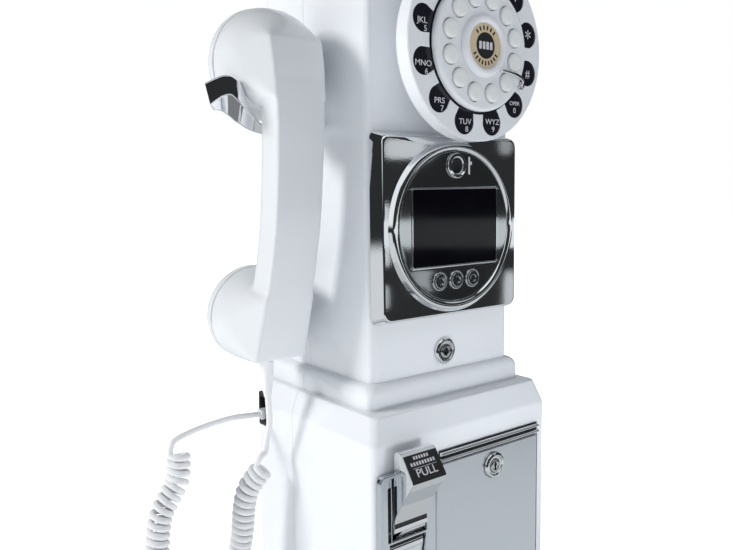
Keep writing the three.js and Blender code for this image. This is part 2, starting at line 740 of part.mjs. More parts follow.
function hookLever() {
  const cup = { x: HANDSET.x, z: 374 };
  const arc = Array.from({ length: 9 }, (_, i) => {
    const angle = -Math.PI * (0.42 + 0.36 * (i / 8));
    return [cup.x + CRADLE_R * Math.cos(angle), cup.z + CRADLE_R * Math.sin(angle)];
  });
  const centre = [[-66, 336], [-74, 335.4], ...arc, [-130.5, 353], [-137, 358], [-143, 358.6]];
  const half = 1.5;
  const offset = (side) => centre.map(([x, z], i) => {
    const before = centre[Math.max(i - 1, 0)];
    const after = centre[Math.min(i + 1, centre.length - 1)];
    const [dx, dz] = [after[0] - before[0], after[1] - before[1]];
    const length = Math.hypot(dx, dz);
    return [x - side * half * (dz / length), z + side * half * (dx / length)];
  });
  const cradle = facePlate(outline([...offset(1), ...offset(-1).reverse()]), HOOK_FAR - 3, 18);
  const arm = block([-70, -40], [HOOK_NEAR, HOOK_FAR], [333, 339]);
  const hub = barY(4.2, HOOK_NEAR, HOOK_FAR, HOOK_PIN.x, HOOK_PIN.z, 20);
  return cut(union(cradle, arm, hub),
    barY(1.5 + GAP, HOOK_NEAR - 5, HOOK_FAR + 5, HOOK_PIN.x, HOOK_PIN.z, 16));
}

function hookSpring() {
  class Helix extends THREE.Curve {
    getPoint(t) {
      const angle = t * Math.PI * 2 * 6;
      return new THREE.Vector3(-43 + 2.4 * Math.cos(angle), 8 + 2.4 * Math.sin(angle), 316 + 16 * t);
    }
  }
  const wire = new THREE.ExtrudeGeometry(circle(0.5, 5), { steps: 48, extrudePath: new Helix() });
  return solid(wire);
}

function hook() {
  const group = new THREE.Group();
  group.add(
    part('hook_lever', hookLever(), CHROME),
    part('hook_pin', barY(1.5, -4.6, SPLIT - 1.2, HOOK_PIN.x, HOOK_PIN.z, 16), STEEL),
    part('hook_spring', hookSpring(), STEEL),
    part('hook_switch', block([-41, -28], [HOOK_NEAR, HOOK_FAR], [339.4, 347]), BLACK));
  return group;
}

// ------------------------------------------------------------------- handset

// Front of the handle in side view: a shallow bow, furthest forward in the middle.
function handleFront(z) {
  const crest = { y: -10.2, z: -5 };
  if (z > crest.z) return crest.y + 9.9 * ((z - crest.z) / 93) ** 3.5;
  return crest.y + 13.8 * ((crest.z - z) / 86) ** 1.5;
}

function handleBar() {
  const stations = Array.from({ length: 13 }, (_, i) => 62 - i * 11);
  const front = stations.map((z) => [handleFront(z), z]);
  const back = stations.map((z) => [handleFront(z) + HANDLE_DEPTH, z]).reverse();
  const chamfer = 3;
  const bar = sideProfile(outline([...front, ...back]), -HANDLE_HALF + chamfer, HANDLE_HALF - chamfer);
  const thinner = sideProfile(
    outline([...front.map(([y, z]) => [y + chamfer, z]), ...back.map(([y, z]) => [y - chamfer, z])]),
    -HANDLE_HALF, HANDLE_HALF);
  return bar.add(thinner);
}

// The bowl that widens from the handle's end to the round rim of the cup.
function bowl(cup, endZ) {
  const points = [];
  const inward = Math.sign(-cup.z);
  for (const z of [endZ, cup.z + inward * 22]) {
    for (const x of [-HANDLE_HALF, HANDLE_HALF]) {
      points.push(new THREE.Vector3(x, handleFront(z) + 3, z));
      points.push(new THREE.Vector3(x * 0.8, handleFront(z), z));
    }
  }
  const rings = [[cup.r - 6, cup.rim - 24.5], [cup.r - 1.6, cup.rim - 12.5], [cup.r, cup.rim]];
  for (const [radius, y] of rings) {
    for (let i = 0; i < CUP_SIDES; i += 1) {
      const angle = (i / CUP_SIDES) * Math.PI * 2;
      points.push(new THREE.Vector3(radius * Math.cos(angle), y, cup.z + radius * Math.sin(angle)));
    }
  }
  return solid(new ConvexGeometry(points));
}

function bowlHollow(cup) {
  return turned([
    [0, cup.rim - 26.5], [cup.r - 10, cup.rim - 26.5], [cup.r - 4, cup.rim - 12.5],
    [cup.r - 3.2, cup.rim + 2], [0, cup.rim + 2],
  ], CUP_SIDES).translate([0, 0, cup.z]);
}

function handsetBody() {
  const whole = union(handleBar(), bowl(EAR, 89), bowl(MOUTH, -100));
  const wireWay = block([-6, 6], [4, 9], [MOUTH.z, EAR.z]);
  const wireDrop = [EAR, MOUTH].map((cup) => block([-6, 6], [4, 20], [cup.z - 5, cup.z + 5]));
  return cut(whole, bowlHollow(EAR), bowlHollow(MOUTH), wireWay, ...wireDrop);
}

function cap(cup, dish) {
  const base = cup.rim + GAP;
  return turned([
    [0, base + 3], [cup.r - 4, base + 3], [cup.r - 4, base], [cup.r, base],
    [cup.r, cup.face - 4], [cup.r - 1.4, cup.face - 1.2], [cup.r - 5, cup.face],
    [cup.r - 9, cup.face - dish * 0.7], [0, cup.face - dish],
  ], CUP_SIDES).translate([0, 0, cup.z]);
}

function handset() {
  const group = new THREE.Group();
  group.position.set(HANDSET.x, HANDSET.y, HANDSET.z);
  group.rotation.x = THREE.MathUtils.degToRad(HANDSET_TILT);
  group.add(
    part('handset_body', handsetBody(), WHITE),
    part('ear_cap', cap(EAR, 3), WHITE),
    part('mouth_cap', cap(MOUTH, 2), WHITE),
    part('receiver', barY(24, EAR.rim - 9.5, EAR.rim + 2.6, 0, EAR.z), STEEL),
    part('microphone', barY(8, MOUTH.rim - 8.5, MOUTH.rim + 2.6, 0, MOUTH.z), BLACK));
  return group;
}

// ---------------------------------------------------------------------- cord

function tube(points, radius, sides, steps) {
  const path = new THREE.CatmullRomCurve3(points.map((p) => new THREE.Vector3(...p)));
  return solid(new THREE.ExtrudeGeometry(circle(radius, sides), { steps, extrudePath: path }));
}

// The coiled cord is a plain tube of the coil's outer size between two thin leads.
function cord() {
  const handsetLead = [
    [-97, 14.5, 178], [-97, 14, 166], [-94, 19, 148], [-95, 26, 130], [-93, 30, 112],
  ];
  const coil = [
    [-94.5, 30, 120], [-98, 32, 111], [-104, 35, 94], [-105, 40, 66], [-109, 45, 40],
    [-122, 47, 21], [-141, 48, 16], [-157, 48.5, 29], [-165, 49, 54], [-161, 50, 80],
    [-151.6, 50, 103], [-144.6, 50, 116], [-143.5, 50, 133],
  ];
  const jackLead = [
    [-149.4, 50, 127], [-149, 50, 138], [-128, 52, 143.4], [-104, 55, 145], [-86, 58, 142.6],
    [-71.5, 58.8, 142],
  ];
  const relief = new THREE.CylinderGeometry(4.4, 2.4, RELIEF_LENGTH, 14)
    .rotateX(Math.PI / 2).translate(HANDSET.x, 14.5, 173 + RELIEF_LENGTH / 2);
  return union(
    tube(handsetLead, CORD_R, 6, 12),
    tube(coil, COIL_R, 10, 40),
    tube(jackLead, CORD_R, 6, 12),
    solid(relief));
}

// ------------------------------------------------------------ inside pieces

function lineJack() {
  return cut(
    block([-LOWER_HALF + 0.4, -62], [JACK.near, JACK.far], [JACK.bottom, JACK.top]),
    block([-80, -70], [JACK.near + 1.6, JACK.far - 1.6], [JACK.bottom + 3, JACK.top - 3]));
}

// Guides coins from the slots in the top, past the lock's cam, to the vault.
function coinChute() {
  const [half, back, wall] = [23, -11, 1.5];
  const upper = block([-half, half], [-39, back], [216, 455]);
  const lower = block([-half, half], [-32, back], [140, 217]);
  const upperBore = block([-half + wall, half - wall], [-39 + wall, back - wall], [218, 470]);
  const lowerBore = block([-half + wall, half - wall], [-32 + wall, back - wall], [130, 219]);
  return cut(union(upper, lower), upperBore, lowerBore);
}

function mainBoard() {
  const { half, front, back, bottom, top } = MAIN_BOARD;
  return block([-half, half], [front, back], [bottom, top]);
}

function insides() {
  const group = new THREE.Group();
  group.add(
    part('coin_chute', coinChute(), STEEL),
    part('main_board', mainBoard(), BOARD),
    part('ringer', turned([
      [0, 52], [14, 52], [29, 58], [29, 64.6], [0, 64.6],
    ], 32).translate([20, 0, 60]), BLACK),
    part('line_jack', lineJack(), BLACK));
  return group;
}

// ------------------------------------------------------------------ assembly

function housing() {
  const shell = loft(outerLevels()).subtract(loft(innerLevels()));
  const group = new THREE.Group();
  group.add(
    part('front_cover', frontCover(shell), WHITE),
    part('rear_cover', rearCover(shell), WHITE),
    part('coin_gauge', coinGauge(), CHROME));
  return group;
}

function vault() {
  const group = new THREE.Group();
  const pin = barZ(1, DOOR.bottom - 2.6, DOOR.top + 2.6, DOOR_PIN.x, DOOR_PIN.y, 12);
  group.add(
    part('door_rail', doorRail(), CHROME),
    part('vault_door', vaultDoor(), SATIN),
    part('vault_hinge_pin', pin, STEEL),
    vaultLock());
  return group;
}

function coinReturn() {
  const group = new THREE.Group();
  group.add(
    part('return_bezel', returnBezel(), SATIN),
    part('return_lever', returnLever(), CHROME),
    part('lever_pin', barX(1, ...PIN_ENDS, LEVER_PIN.y, LEVER_PIN.z, 12), STEEL),
    part('return_flap', returnFlap(), CHROME),
    part('flap_pin', barX(1, ...PIN_ENDS, FLAP_PIN.y, FLAP_PIN.z, 12), STEEL),
    part('coin_cup', coinCup(), RUBBER));
  return group;
}

const telephone = new THREE.Group();
telephone.add(
  housing(), dial(), displayUnit(), cabinetLock(), vault(), coinReturn(), hook(), handset(),
  insides());
telephone.add(part('cord', cord(), RUBBER));

export default telephone;
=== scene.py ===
"""A corded wall telephone in payphone style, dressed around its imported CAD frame.

Lengths in this script are millimetres in the frame's own axes: x to the right, y into
the wall and z up. MM turns them into Blender's metres.
"""

import math

import bmesh
import bpy
from mathutils import Matrix, Vector

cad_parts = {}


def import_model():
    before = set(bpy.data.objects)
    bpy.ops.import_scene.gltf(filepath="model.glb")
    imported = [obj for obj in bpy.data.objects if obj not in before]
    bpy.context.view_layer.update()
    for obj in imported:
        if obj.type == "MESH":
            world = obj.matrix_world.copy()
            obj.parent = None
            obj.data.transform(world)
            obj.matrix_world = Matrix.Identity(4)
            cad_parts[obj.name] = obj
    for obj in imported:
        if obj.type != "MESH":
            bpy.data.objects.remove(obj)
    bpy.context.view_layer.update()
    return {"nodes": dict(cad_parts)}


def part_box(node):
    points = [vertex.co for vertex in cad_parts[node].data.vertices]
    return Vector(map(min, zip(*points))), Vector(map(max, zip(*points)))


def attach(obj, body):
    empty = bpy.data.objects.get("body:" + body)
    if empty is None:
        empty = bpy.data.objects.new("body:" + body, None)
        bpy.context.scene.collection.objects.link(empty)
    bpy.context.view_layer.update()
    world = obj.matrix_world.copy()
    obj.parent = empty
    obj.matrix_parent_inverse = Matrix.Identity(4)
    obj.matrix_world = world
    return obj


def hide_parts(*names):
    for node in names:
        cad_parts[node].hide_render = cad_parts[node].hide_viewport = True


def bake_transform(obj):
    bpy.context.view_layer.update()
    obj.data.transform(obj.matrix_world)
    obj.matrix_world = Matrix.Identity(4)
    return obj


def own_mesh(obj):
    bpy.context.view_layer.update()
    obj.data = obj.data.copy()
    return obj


MM = 0.001
SHARP_DEGREES = 35

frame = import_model()


# ---- the frame's places


def spans(node):
    """Lowest and highest value of a CAD node along x, y and z."""
    return [(low / MM, high / MM) for low, high in zip(*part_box(node))]


def span(node, axis):
    return spans(node)["xyz".index(axis)]


def middle(node, axis):
    return sum(span(node, axis)) / 2


WALL_Y = span("rear_cover", "y")[1]
LOWER_HALF = span("front_cover", "x")[1]
LOWER_FRONT = span("front_cover", "y")[0]
TOP_Z = span("front_cover", "z")[1]
SPLIT_FRONT = span("front_cover", "y")[1]
SPLIT_REAR = span("rear_cover", "y")[0]
UPPER_HALF = 60.5
UPPER_FRONT = -46.5

DIAL_Z = middle("dial_face", "z")
DIAL_R = span("dial_face", "x")[1]
DIAL_Y = span("dial_face", "y")[0]
HUB_R = span("hub_disc", "x")[1]
HUB_Y = span("hub_disc", "y")[0]
KEY_RING_R = 27.8
KEY_R = 5.4
LOBE_R = 7.9
LOBE_TIP_R = 53
LABEL_R = 13

PLATE_Z = middle("face_plate", "z")
PLATE_Y = -55.9
RING_R = 53.1
PANEL_R = span("display_panel", "x")[1]
PANEL_Y = -57.8
BUTTON_HOLE_R = 4.9
LOCK_HOLE_R = 6.7

HINGE_X = middle("vault_hinge_pin", "x")
HINGE_Y = middle("vault_hinge_pin", "y")
LEVER_PIN = (-67.5, 97.2)
FLAP_PIN = (-66.5, 88.5)
HOOK_PIN = (-52, 336)

EAR_X = middle("ear_cap", "x")
HANDSET_AT = Matrix.Translation(Vector((EAR_X, -20, 295)) * MM)
HANDSET_LEAN = Matrix.Rotation(math.radians(6), 4, "X")
HANDLE_HALF = 15.9
HANDLE_DEPTH = 22
EAR = {"z": 76, "r": 33, "rim": 38.5, "face": 48}
MOUTH = {"z": -79, "r": 30.5, "rim": 41.5, "face": 51}


# ---- mesh helpers

TO_FRONT = Matrix.Rotation(math.pi / 2, 4, "X")
TO_SIDE = Matrix(((0, 0, 1, 0), (1, 0, 0, 0), (0, 1, 0, 0), (0, 0, 0, 1)))


def new_object(name, data):
    obj = bpy.data.objects.new(name, data)
    bpy.context.scene.collection.objects.link(obj)
    return obj


def discard(obj):
    bpy.data.objects.remove(obj)


def mesh_of(name, bm):
    """Turns a bmesh into a mesh."""
    mesh = bpy.data.meshes.new(name)
    bm.to_mesh(mesh)
    bm.free()
    return mesh


def tidy_mesh(mesh):
    """Joins points that coincide and turns every face outwards."""
    bm = bmesh.new()
    bm.from_mesh(mesh)
    bmesh.ops.remove_doubles(bm, verts=bm.verts, dist=1e-6)
    bmesh.ops.dissolve_degenerate(bm, edges=bm.edges, dist=1e-6)
    bmesh.ops.recalc_face_normals(bm, faces=bm.faces)
    bm.to_mesh(mesh)
    bm.free()


def make_mesh(name, vertices, faces):
    mesh = bpy.data.meshes.new(name)
    mesh.from_pydata([Vector(v) * MM for v in vertices], [], faces)
    tidy_mesh(mesh)
    return new_object(name, mesh)


def evaluated(obj):
    """The mesh that an object's curve or modifiers make."""
    graph = bpy.context.evaluated_depsgraph_get()
    return bpy.data.meshes.new_from_object(obj.evaluated_get(graph))


def bake(obj):
    """Applies a mesh object's modifiers."""
    obj.data = evaluated(obj)
    obj.modifiers.clear()


def mesh_of_curve(curve):
    drawn = new_object("drawn", curve)
    mesh = evaluated(drawn)
    discard(drawn)
    return mesh


def combine(obj, operation, tools):
    for tool in tools:
        modifier = obj.modifiers.new("combine", "BOOLEAN")
        modifier.operation = operation
        modifier.solver = "MANIFOLD"
        modifier.object = tool
    bake(obj)
    for tool in tools:
        discard(tool)
    return obj


def cut(obj, *tools):
    return combine(obj, "DIFFERENCE", tools)


def merge(obj, *tools):
    return combine(obj, "UNION", tools)


def join(name, parts):
    """Gathers several meshes into one object without welding them."""
    bm = bmesh.new()
    for part in parts:
        bm.from_mesh(part.data)
    for part in parts:
        discard(part)
    return new_object(name, mesh_of(name, bm))


def polish(obj, degrees):
    """Smooth shading that keeps flat faces flat and corners crisp."""
    obj.data.shade_smooth()
    obj.data.set_sharp_from_angle(angle=math.radians(degrees))
    modifier = obj.modifiers.new("normals", "WEIGHTED_NORMAL")
    modifier.keep_sharp = True
    bake(obj)


def rounded(points, radius, steps=5):
    """Rounds the corners of an outline by one radius or by a list, where 0 keeps a corner."""
    result = []
    count = len(points)
    for i, point in enumerate(points):
        here = Vector(point)
        reach = radius[i] if isinstance(radius, list) else radius
        if reach == 0:
            result.append(here)
            continue
        before = Vector(points[i - 1]) - here
        after = Vector(points[(i + 1) % count]) - here
        reach = min(reach, before.length * 0.49, after.length * 0.49)
        start = here + before.normalized() * reach
        end = here + after.normalized() * reach
        for step in range(steps + 1):
            t = step / steps
            result.append(start * (1 - t) ** 2 + here * 2 * t * (1 - t) + end * t * t)
    return result


def ring_points(x, z, radius, count):
    turn = [2 * math.pi * i / count for i in range(count)]
    return [(x + radius * math.cos(a), z + radius * math.sin(a)) for a in turn]


def arc_points(centre, radii, start, turn, steps):
    """Points on an oval arc that starts and turns by so many degrees."""
    angles = [math.radians(start + turn * i / steps) for i in range(steps + 1)]
    return [(centre[0] + radii[0] * math.cos(a), centre[1] + radii[1] * math.sin(a)) for a in angles]


def box_points(x0, x1, z0, z1, radius=0.0, steps=6):
    corners = [(x0, z0), (x1, z0), (x1, z1), (x0, z1)]
    return rounded(corners, radius, steps=steps) if radius else corners


def inset_box(x, z, inset, radius, steps=6):
    """A rounded rectangle that lies inside the spans x and z."""
    return box_points(x[0] + inset, x[1] - inset, z[0] + inset, z[1] - inset, radius, steps)


def at_depth(outline, y):
    return [(x, y, z) for x, z in outline]


def lofted(name, rings):
    """Skins rings of equally many points and closes both ends."""
    count = len(rings[0])
    vertices = [point for ring in rings for point in ring]
    faces = [list(range(count)), list(range(len(vertices) - count, len(vertices)))]
    for base in range(0, len(vertices) - count, count):
        for i in range(count):
            j = (i + 1) % count
            faces.append([base + i, base + j, base + count + j, base + count + i])
    return make_mesh(name, vertices, faces)


def turned(name, profile, x, z, sides=96):
    """Turns a profile of (radius, y) about the line at x, z that runs along y.

    The profile starts and ends on that line, or it closes on itself.
    """
    open_line = profile[0][0] < 1e-6
    rows = len(profile)
    vertices = []
    for i in range(sides):
        angle = 2 * math.pi * i / sides
        for radius, y in profile:
            vertices.append((x + radius * math.cos(angle), y, z + radius * math.sin(angle)))
    faces = []
    for i in range(sides):
        here, there = i * rows, (i + 1) % sides * rows
        for row in range(rows - 1 if open_line else rows):
            following = (row + 1) % rows
            faces.append([here + row, there + row, there + following, here + following])
    return make_mesh(name, vertices, faces)


def extruded(name, outlines, low, high, edge, turn, direction):
    """A filled 2D curve with holes, thickened between low and high, with rounded edges."""
    curve = bpy.data.curves.new(name, "CURVE")
    curve.dimensions = "2D"
    curve.fill_mode = "BOTH"
    curve.extrude = ((high - low) / 2 - edge) * MM
    curve.bevel_depth = edge * MM
    curve.bevel_resolution = 2
    curve.offset = -edge * MM
    for outline in outlines:
        spline = curve.splines.new("POLY")
        spline.points.add(len(outline) - 1)
        for point, (a, b) in zip(spline.points, outline):
            point.co = (a * MM, b * MM, 0, 1)
        spline.use_cyclic_u = True
    mesh = mesh_of_curve(curve)
    mesh.transform(turn)
    mesh.transform(Matrix.Translation([(low + high) / 2 * MM * share for share in direction]))
    tidy_mesh(mesh)
    return new_object(name, mesh)


def plate(name, outlines, y_back, y_front, edge):
    """A plate that faces the front, with outlines drawn in x and z."""
    return extruded(name, outlines, y_front, y_back, edge, TO_FRONT, (0, 1, 0))


def slab(name, outlines, z_low, z_high, edge):
    """A plate that faces up, with outlines drawn in x and y."""
    return extruded(name, outlines, z_low, z_high, edge, Matrix(), (0, 0, 1))


def side_bar(name, outlines, x_left, x_right, edge):
    """A bar along x, with outlines drawn in y and z."""
    return extruded(name, outlines, x_left, x_right, edge, TO_SIDE, (1, 0, 0))


def block(x_range, y_range, z_range):
    (x0, x1), (y0, y1) = x_range, y_range
    return lofted("cutter", [[(x0, y0, z), (x1, y0, z), (x1, y1, z), (x0, y1, z)] for z in z_range])


def drill(radius, y_back, y_front, x, z, sides=48):
    profile = [(0, y_back), (radius, y_back), (radius, y_front), (0, y_front)]
    return turned("cutter", profile, x, z, sides)


def smooth_path(points, per_span=12):
    """A Catmull-Rom line through the points."""
    knots = [Vector(p) for p in points]
    knots = [knots[0] * 2 - knots[1], *knots, knots[-1] * 2 - knots[-2]]
    path = []
    for i in range(1, len(knots) - 2):
        a, b, c, d = knots[i - 1 : i + 3]
        for step in range(per_span):
            t = step / per_span
            curve = (2 * a - 5 * b + 4 * c - d) * t * t + (3 * b - a - 3 * c + d) * t**3
            path.append(0.5 * (2 * b + (c - a) * t + curve))
    path.append(knots[-2])
    return path


def frames_along(path, up=Vector((0, 0, 1))):
    """A side and an up direction at each point, turning as little as possible."""
    result = []
    for i, point in enumerate(path):
        ahead = path[min(i + 1, len(path) - 1)] - path[max(i - 1, 0)]
        ahead.normalize()
        side = ahead.cross(up)
        if side.length < 1e-3:
            side = ahead.orthogonal()
        side.normalize()
        up = side.cross(ahead).normalized()
        result.append((point, side, up))
    return result


def swept(name, path, width, height, sides):
    """An oval rod along a path. width and height change with the share of its length."""
    rings = []
    for i, (point, side, up) in enumerate(frames_along(path)):
        share = i / (len(path) - 1)
        across, along = side * width(share), up * height(share)
        turn = [2 * math.pi * k / sides for k in range(sides)]
        rings.append([point + across * math.cos(a) + along * math.sin(a) for a in turn])
    return lofted(name, rings)


def rod(name, path, radius, sides):
    return swept(name, path, lambda share: radius, lambda share: radius, sides)


# ---- materials

BROAD_NOISE = 38.0
RELIEF_DEPTH = 0.0004
COAT_ROUGHNESS = 0.08


def set_up(tree, node, values):
    """Gives a node its values: another node's output, an input's value or a setting."""
    for key, value in values.items():
        if isinstance(value, bpy.types.NodeSocket):
            tree.links.new(value, node.inputs[key])
        elif isinstance(key, int) or key in node.inputs:
            node.inputs[key].default_value = value
        else:
            setattr(node, key, value)
    return node


def add_node(tree, kind, values=None):
    return set_up(tree, tree.nodes.new("ShaderNode" + kind), values or {})


def finish(name, colour, roughness, metallic=0.0, mottle=0.03, grain=900.0, bump=0.02,
           rough_spread=0.06, stretch=(1, 1, 1), coat=0.0):
    """A surface whose colour, roughness and relief vary with procedural noise.

    mottle is the share by which the colour varies, grain is the fine noise's scale per
    metre, and stretch draws the noise out into brushed lines.
    """
    material = bpy.data.materials.new(name)
    material.use_nodes = True
    tree = material.node_tree
    place = add_node(tree, "TexCoord")
    mapping = add_node(tree, "Mapping", {"Vector": place.outputs["Object"], "Scale": stretch})
    broad, fine = [
        add_node(tree, "TexNoise", {"Vector": mapping.outputs[0], "Scale": scale, "Detail": detail})
        for scale, detail in ((BROAD_NOISE, 3.0), (grain, 2.0))
    ]
    dull = (*[c * (1 - mottle) for c in colour], 1)
    tone = {"data_type": "RGBA", 0: broad.outputs["Fac"], 6: dull, 7: (*colour, 1)}
    low, high = max(roughness - rough_spread / 2, 0.01), roughness + rough_spread / 2
    rough = {"Value": broad.outputs["Fac"], "To Min": low, "To Max": high}
    relief = {"Height": fine.outputs["Fac"], "Strength": bump, "Distance": RELIEF_DEPTH}
    set_up(tree, tree.nodes["Principled BSDF"], {
        "Metallic": metallic,
        "Coat Weight": coat,
        "Coat Roughness": COAT_ROUGHNESS,
        "Base Color": add_node(tree, "Mix", tone).outputs[2],
        "Roughness": add_node(tree, "MapRange", rough).outputs["Result"],
        "Normal": add_node(tree, "Bump", relief).outputs["Normal"],
    })
    return material


WHITE = finish("white_gloss", (0.8, 0.82, 0.85), 0.2, mottle=0.015, bump=0.015, coat=0.35)
# The handset's white is the housing's gloss made darker; that darkening is painted shade, so the handset
# reads shaded beside the housing.
HANDSET_SHADED_WHITE = finish("handset_gloss_shaded", (0.73, 0.75, 0.77), 0.3, mottle=0.012, coat=0.3)
KEY_WHITE = finish("key_white", (0.8, 0.81, 0.8), 0.3, mottle=0.02, grain=1400)
VINYL = finish("white_vinyl", (0.84, 0.84, 0.85), 0.36, mottle=0.02, grain=1500, bump=0.04)
BLACK = finish("black_gloss", (0.012, 0.012, 0.02), 0.22, mottle=0.3, coat=0.3)
SOFT_BLACK = finish("soft_black", (0.02, 0.02, 0.022), 0.5, mottle=0.3, bump=0.1)
GLASS = finish("display_glass", (0.002, 0.002, 0.004), 0.06, mottle=0.2, bump=0.0)
GLASS.node_tree.nodes["Principled BSDF"].inputs["Specular IOR Level"].default_value = 0.3
PANEL = finish("dark_mirror", (0.58, 0.6, 0.62), 0.05, metallic=1.0, bump=0.006, rough_spread=0.03)
CHROME = finish("chrome", (0.86, 0.87, 0.89), 0.035, metallic=1.0, mottle=0.02, bump=0.008,
                rough_spread=0.03)
SATIN = finish("satin_metal", (0.76, 0.79, 0.84), 0.26, metallic=1.0, mottle=0.03, bump=0.03,
               stretch=(1, 1, 12))
STEEL = finish("plain_steel", (0.5, 0.51, 0.53), 0.4, metallic=1.0, mottle=0.08, bump=0.06)
CREAM = finish("cream_card", (0.62, 0.5, 0.33), 0.5, mottle=0.05, grain=2500, bump=0.05)
PRINT = finish("pale_print", (0.66, 0.66, 0.7), 0.5, mottle=0.1)
BOARD = finish("circuit_board", (0.02, 0.12, 0.06), 0.45, mottle=0.3)
CLEAR = finish("clear_plug", (0.75, 0.78, 0.8), 0.1, mottle=0.02)


def paint(obj, material):
    obj.data.materials.clear()
    obj.data.materials.append(material)


def dress(obj, material, *replaced, body="housing", slot=None, sharp=SHARP_DEGREES):
    """Finishes a piece: its shading, material, body and the nodes it stands for; slot is not used."""
    if sharp:
        polish(obj, sharp)
    paint(obj, material)
    if body:
        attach(obj, body)
    if replaced:
        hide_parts(*replaced)


# ---- housing covers

CORNER_STEPS = 8
MOULDING_OUT = 5.6
MOULDING_FOOT = 175
MOULDING_RISE = 6.7
SLOPE_FOOT = 151.3
LEDGE_Z = 166.5
SLOPE_IN = 5
CROWN = 16
SHELL = 3
COIN_SLOTS = (-18, 0, 18)
COIN_SLOT_Y = (-37, -13)
HOOK_SLOT = ((2.4, 13.6), (329, 344))
HINGE_POCKET = (11, 132.6)
KEYHOLES = [(x, z) for x in (-36, 36) for z in (150, 418)]
VENTS = range(-6, 47, 6)
VENT_Z = (52, 70)
FAR = 200
ALL_HEIGHTS = (-10, 600)
THROUGH_WALL = (WALL_Y - 5, WALL_Y + 5)


def plan_ring(half, front, z, radius, back):
    """A rectangle with rounded corners at height z."""
    right, near, far = half - radius, front + radius, back - radius
    ring = []
    for i, centre in enumerate([(right, near), (right, far), (-right, far), (-right, near)]):
        ring += arc_points(centre, (radius, radius), 90 * i - 90, 90, CORNER_STEPS)
    return [(x, y, z) for x, y in ring]


def outer_shell():
    """The whole housing's outside, as one solid."""
    moulding = (UPPER_HALF + MOULDING_OUT, UPPER_FRONT - MOULDING_OUT)
    lower = [
        (LOWER_HALF - 1.5, LOWER_FRONT + 1.5, 0),
        (LOWER_HALF, LOWER_FRONT, 1.5),
        (LOWER_HALF, LOWER_FRONT, SLOPE_FOOT),
        (LOWER_HALF - SLOPE_IN, LOWER_FRONT + SLOPE_IN, LEDGE_Z),
        (*moulding, LEDGE_Z),
        (*moulding, MOULDING_FOOT - 1),
    ]
    levels = rounded(lower, [0, 1.2, 1.6, 1.4, 1.2, 0], steps=4)
    for out, z in arc_points((0, MOULDING_FOOT), (MOULDING_OUT, MOULDING_RISE), 0, 90, 10):
        levels.append((UPPER_HALF + out, UPPER_FRONT - out, z))
    levels.append((UPPER_HALF, UPPER_FRONT, MOULDING_FOOT + MOULDING_RISE + 1.2))
    for inset, z in arc_points((CROWN, TOP_Z - CROWN), (-CROWN, CROWN), 0, 90, 14):
        levels.append((UPPER_HALF - inset, UPPER_FRONT + inset, z))
    return lofted("shell", [plan_ring(half, front, z, 5, WALL_Y) for half, front, z in levels])


def inner_shell():
    """The hollow of the housing."""
    low_x, low_y = LOWER_HALF - SHELL, LOWER_FRONT + SHELL
    up_x, up_y = UPPER_HALF - SHELL, UPPER_FRONT + SHELL
    levels = [
        (low_x, low_y, SHELL),
        (low_x, low_y, SLOPE_FOOT - 1),
        (low_x - SLOPE_IN, low_y + SLOPE_IN, LEDGE_Z - SHELL),
        (up_x, up_y, LEDGE_Z - SHELL),
    ]
    crown = CROWN - SHELL
    for inset, z in arc_points((crown, TOP_Z - CROWN), (-crown, crown), 0, 90, 4):
        levels.append((up_x - inset, up_y + inset, z))
    back = WALL_Y - SHELL
    return lofted("cutter", [plan_ring(half, front, z, 2.5, back) for half, front, z in levels])


def coin_slots(z_low, z_high):
    return [block((x - 1.2, x + 1.2), COIN_SLOT_Y, (z_low, z_high)) for x in COIN_SLOTS]


def front_cover():
    door_x, _, door_z = spans("vault_door")
    flap_x, _, flap_z = spans("return_flap")
    front, upper = (LOWER_FRONT - 5, LOWER_FRONT + 5), (UPPER_FRONT - 5, UPPER_FRONT + 5)
    cover = cut(
        outer_shell(),
        inner_shell(),
        block((-FAR, FAR), (SPLIT_FRONT, FAR), ALL_HEIGHTS),
        drill(24, upper[1], upper[0], 0, DIAL_Z),
        block((-44, 44), upper, (PLATE_Z - 38, PLATE_Z + 44)),
        drill(LOCK_HOLE_R, upper[1], upper[0], 0, middle("upper_lock_body", "z")),
        block((door_x[0] - 0.5, door_x[1] + 0.4), front, (door_z[0] - 0.5, door_z[1] + 0.5)),
        block((flap_x[0] - 3.8, flap_x[1] + 5.2), front, (flap_z[0] - 5, 106)),
        block((-68, -64), front, (105, 127.5)),
        block((-UPPER_HALF - 5, -UPPER_HALF + 5), *HOOK_SLOT),
        block((HINGE_X - 1.3, HINGE_X + 1.3), (HINGE_Y - 1.3, HINGE_Y + 1.3), HINGE_POCKET),
        *coin_slots(TOP_Z - 10, TOP_Z + 10),
    )
    dress(cover, WHITE, "front_cover")
    cover.name = "front_cover_shell"


def keyhole(x, z):
    return [drill(4.5, WALL_Y + 5, WALL_Y - 5, x, z), block((x - 2.2, x + 2.2), THROUGH_WALL, (z, z + 11))]


def rear_cover():
    _, jack_y, jack_z = spans("line_jack")
    jack_hole = block(
        (-LOWER_HALF - 5, -LOWER_HALF + 8),
        (jack_y[0] - 0.3, jack_y[1] + 0.3),
        (jack_z[0] - 0.3, jack_z[1] + 0.3),
    )
    holes = [tool for place in KEYHOLES for tool in keyhole(*place)]
    vents = [block((x - 1, x + 1), THROUGH_WALL, VENT_Z) for x in VENTS]
    front_half = block((-FAR, FAR), (-FAR, SPLIT_REAR), ALL_HEIGHTS)
    cover = cut(outer_shell(), inner_shell(), front_half, jack_hole, *holes, *vents)
    dress(cover, WHITE, "rear_cover")
    cover.name = "rear_cover_shell"


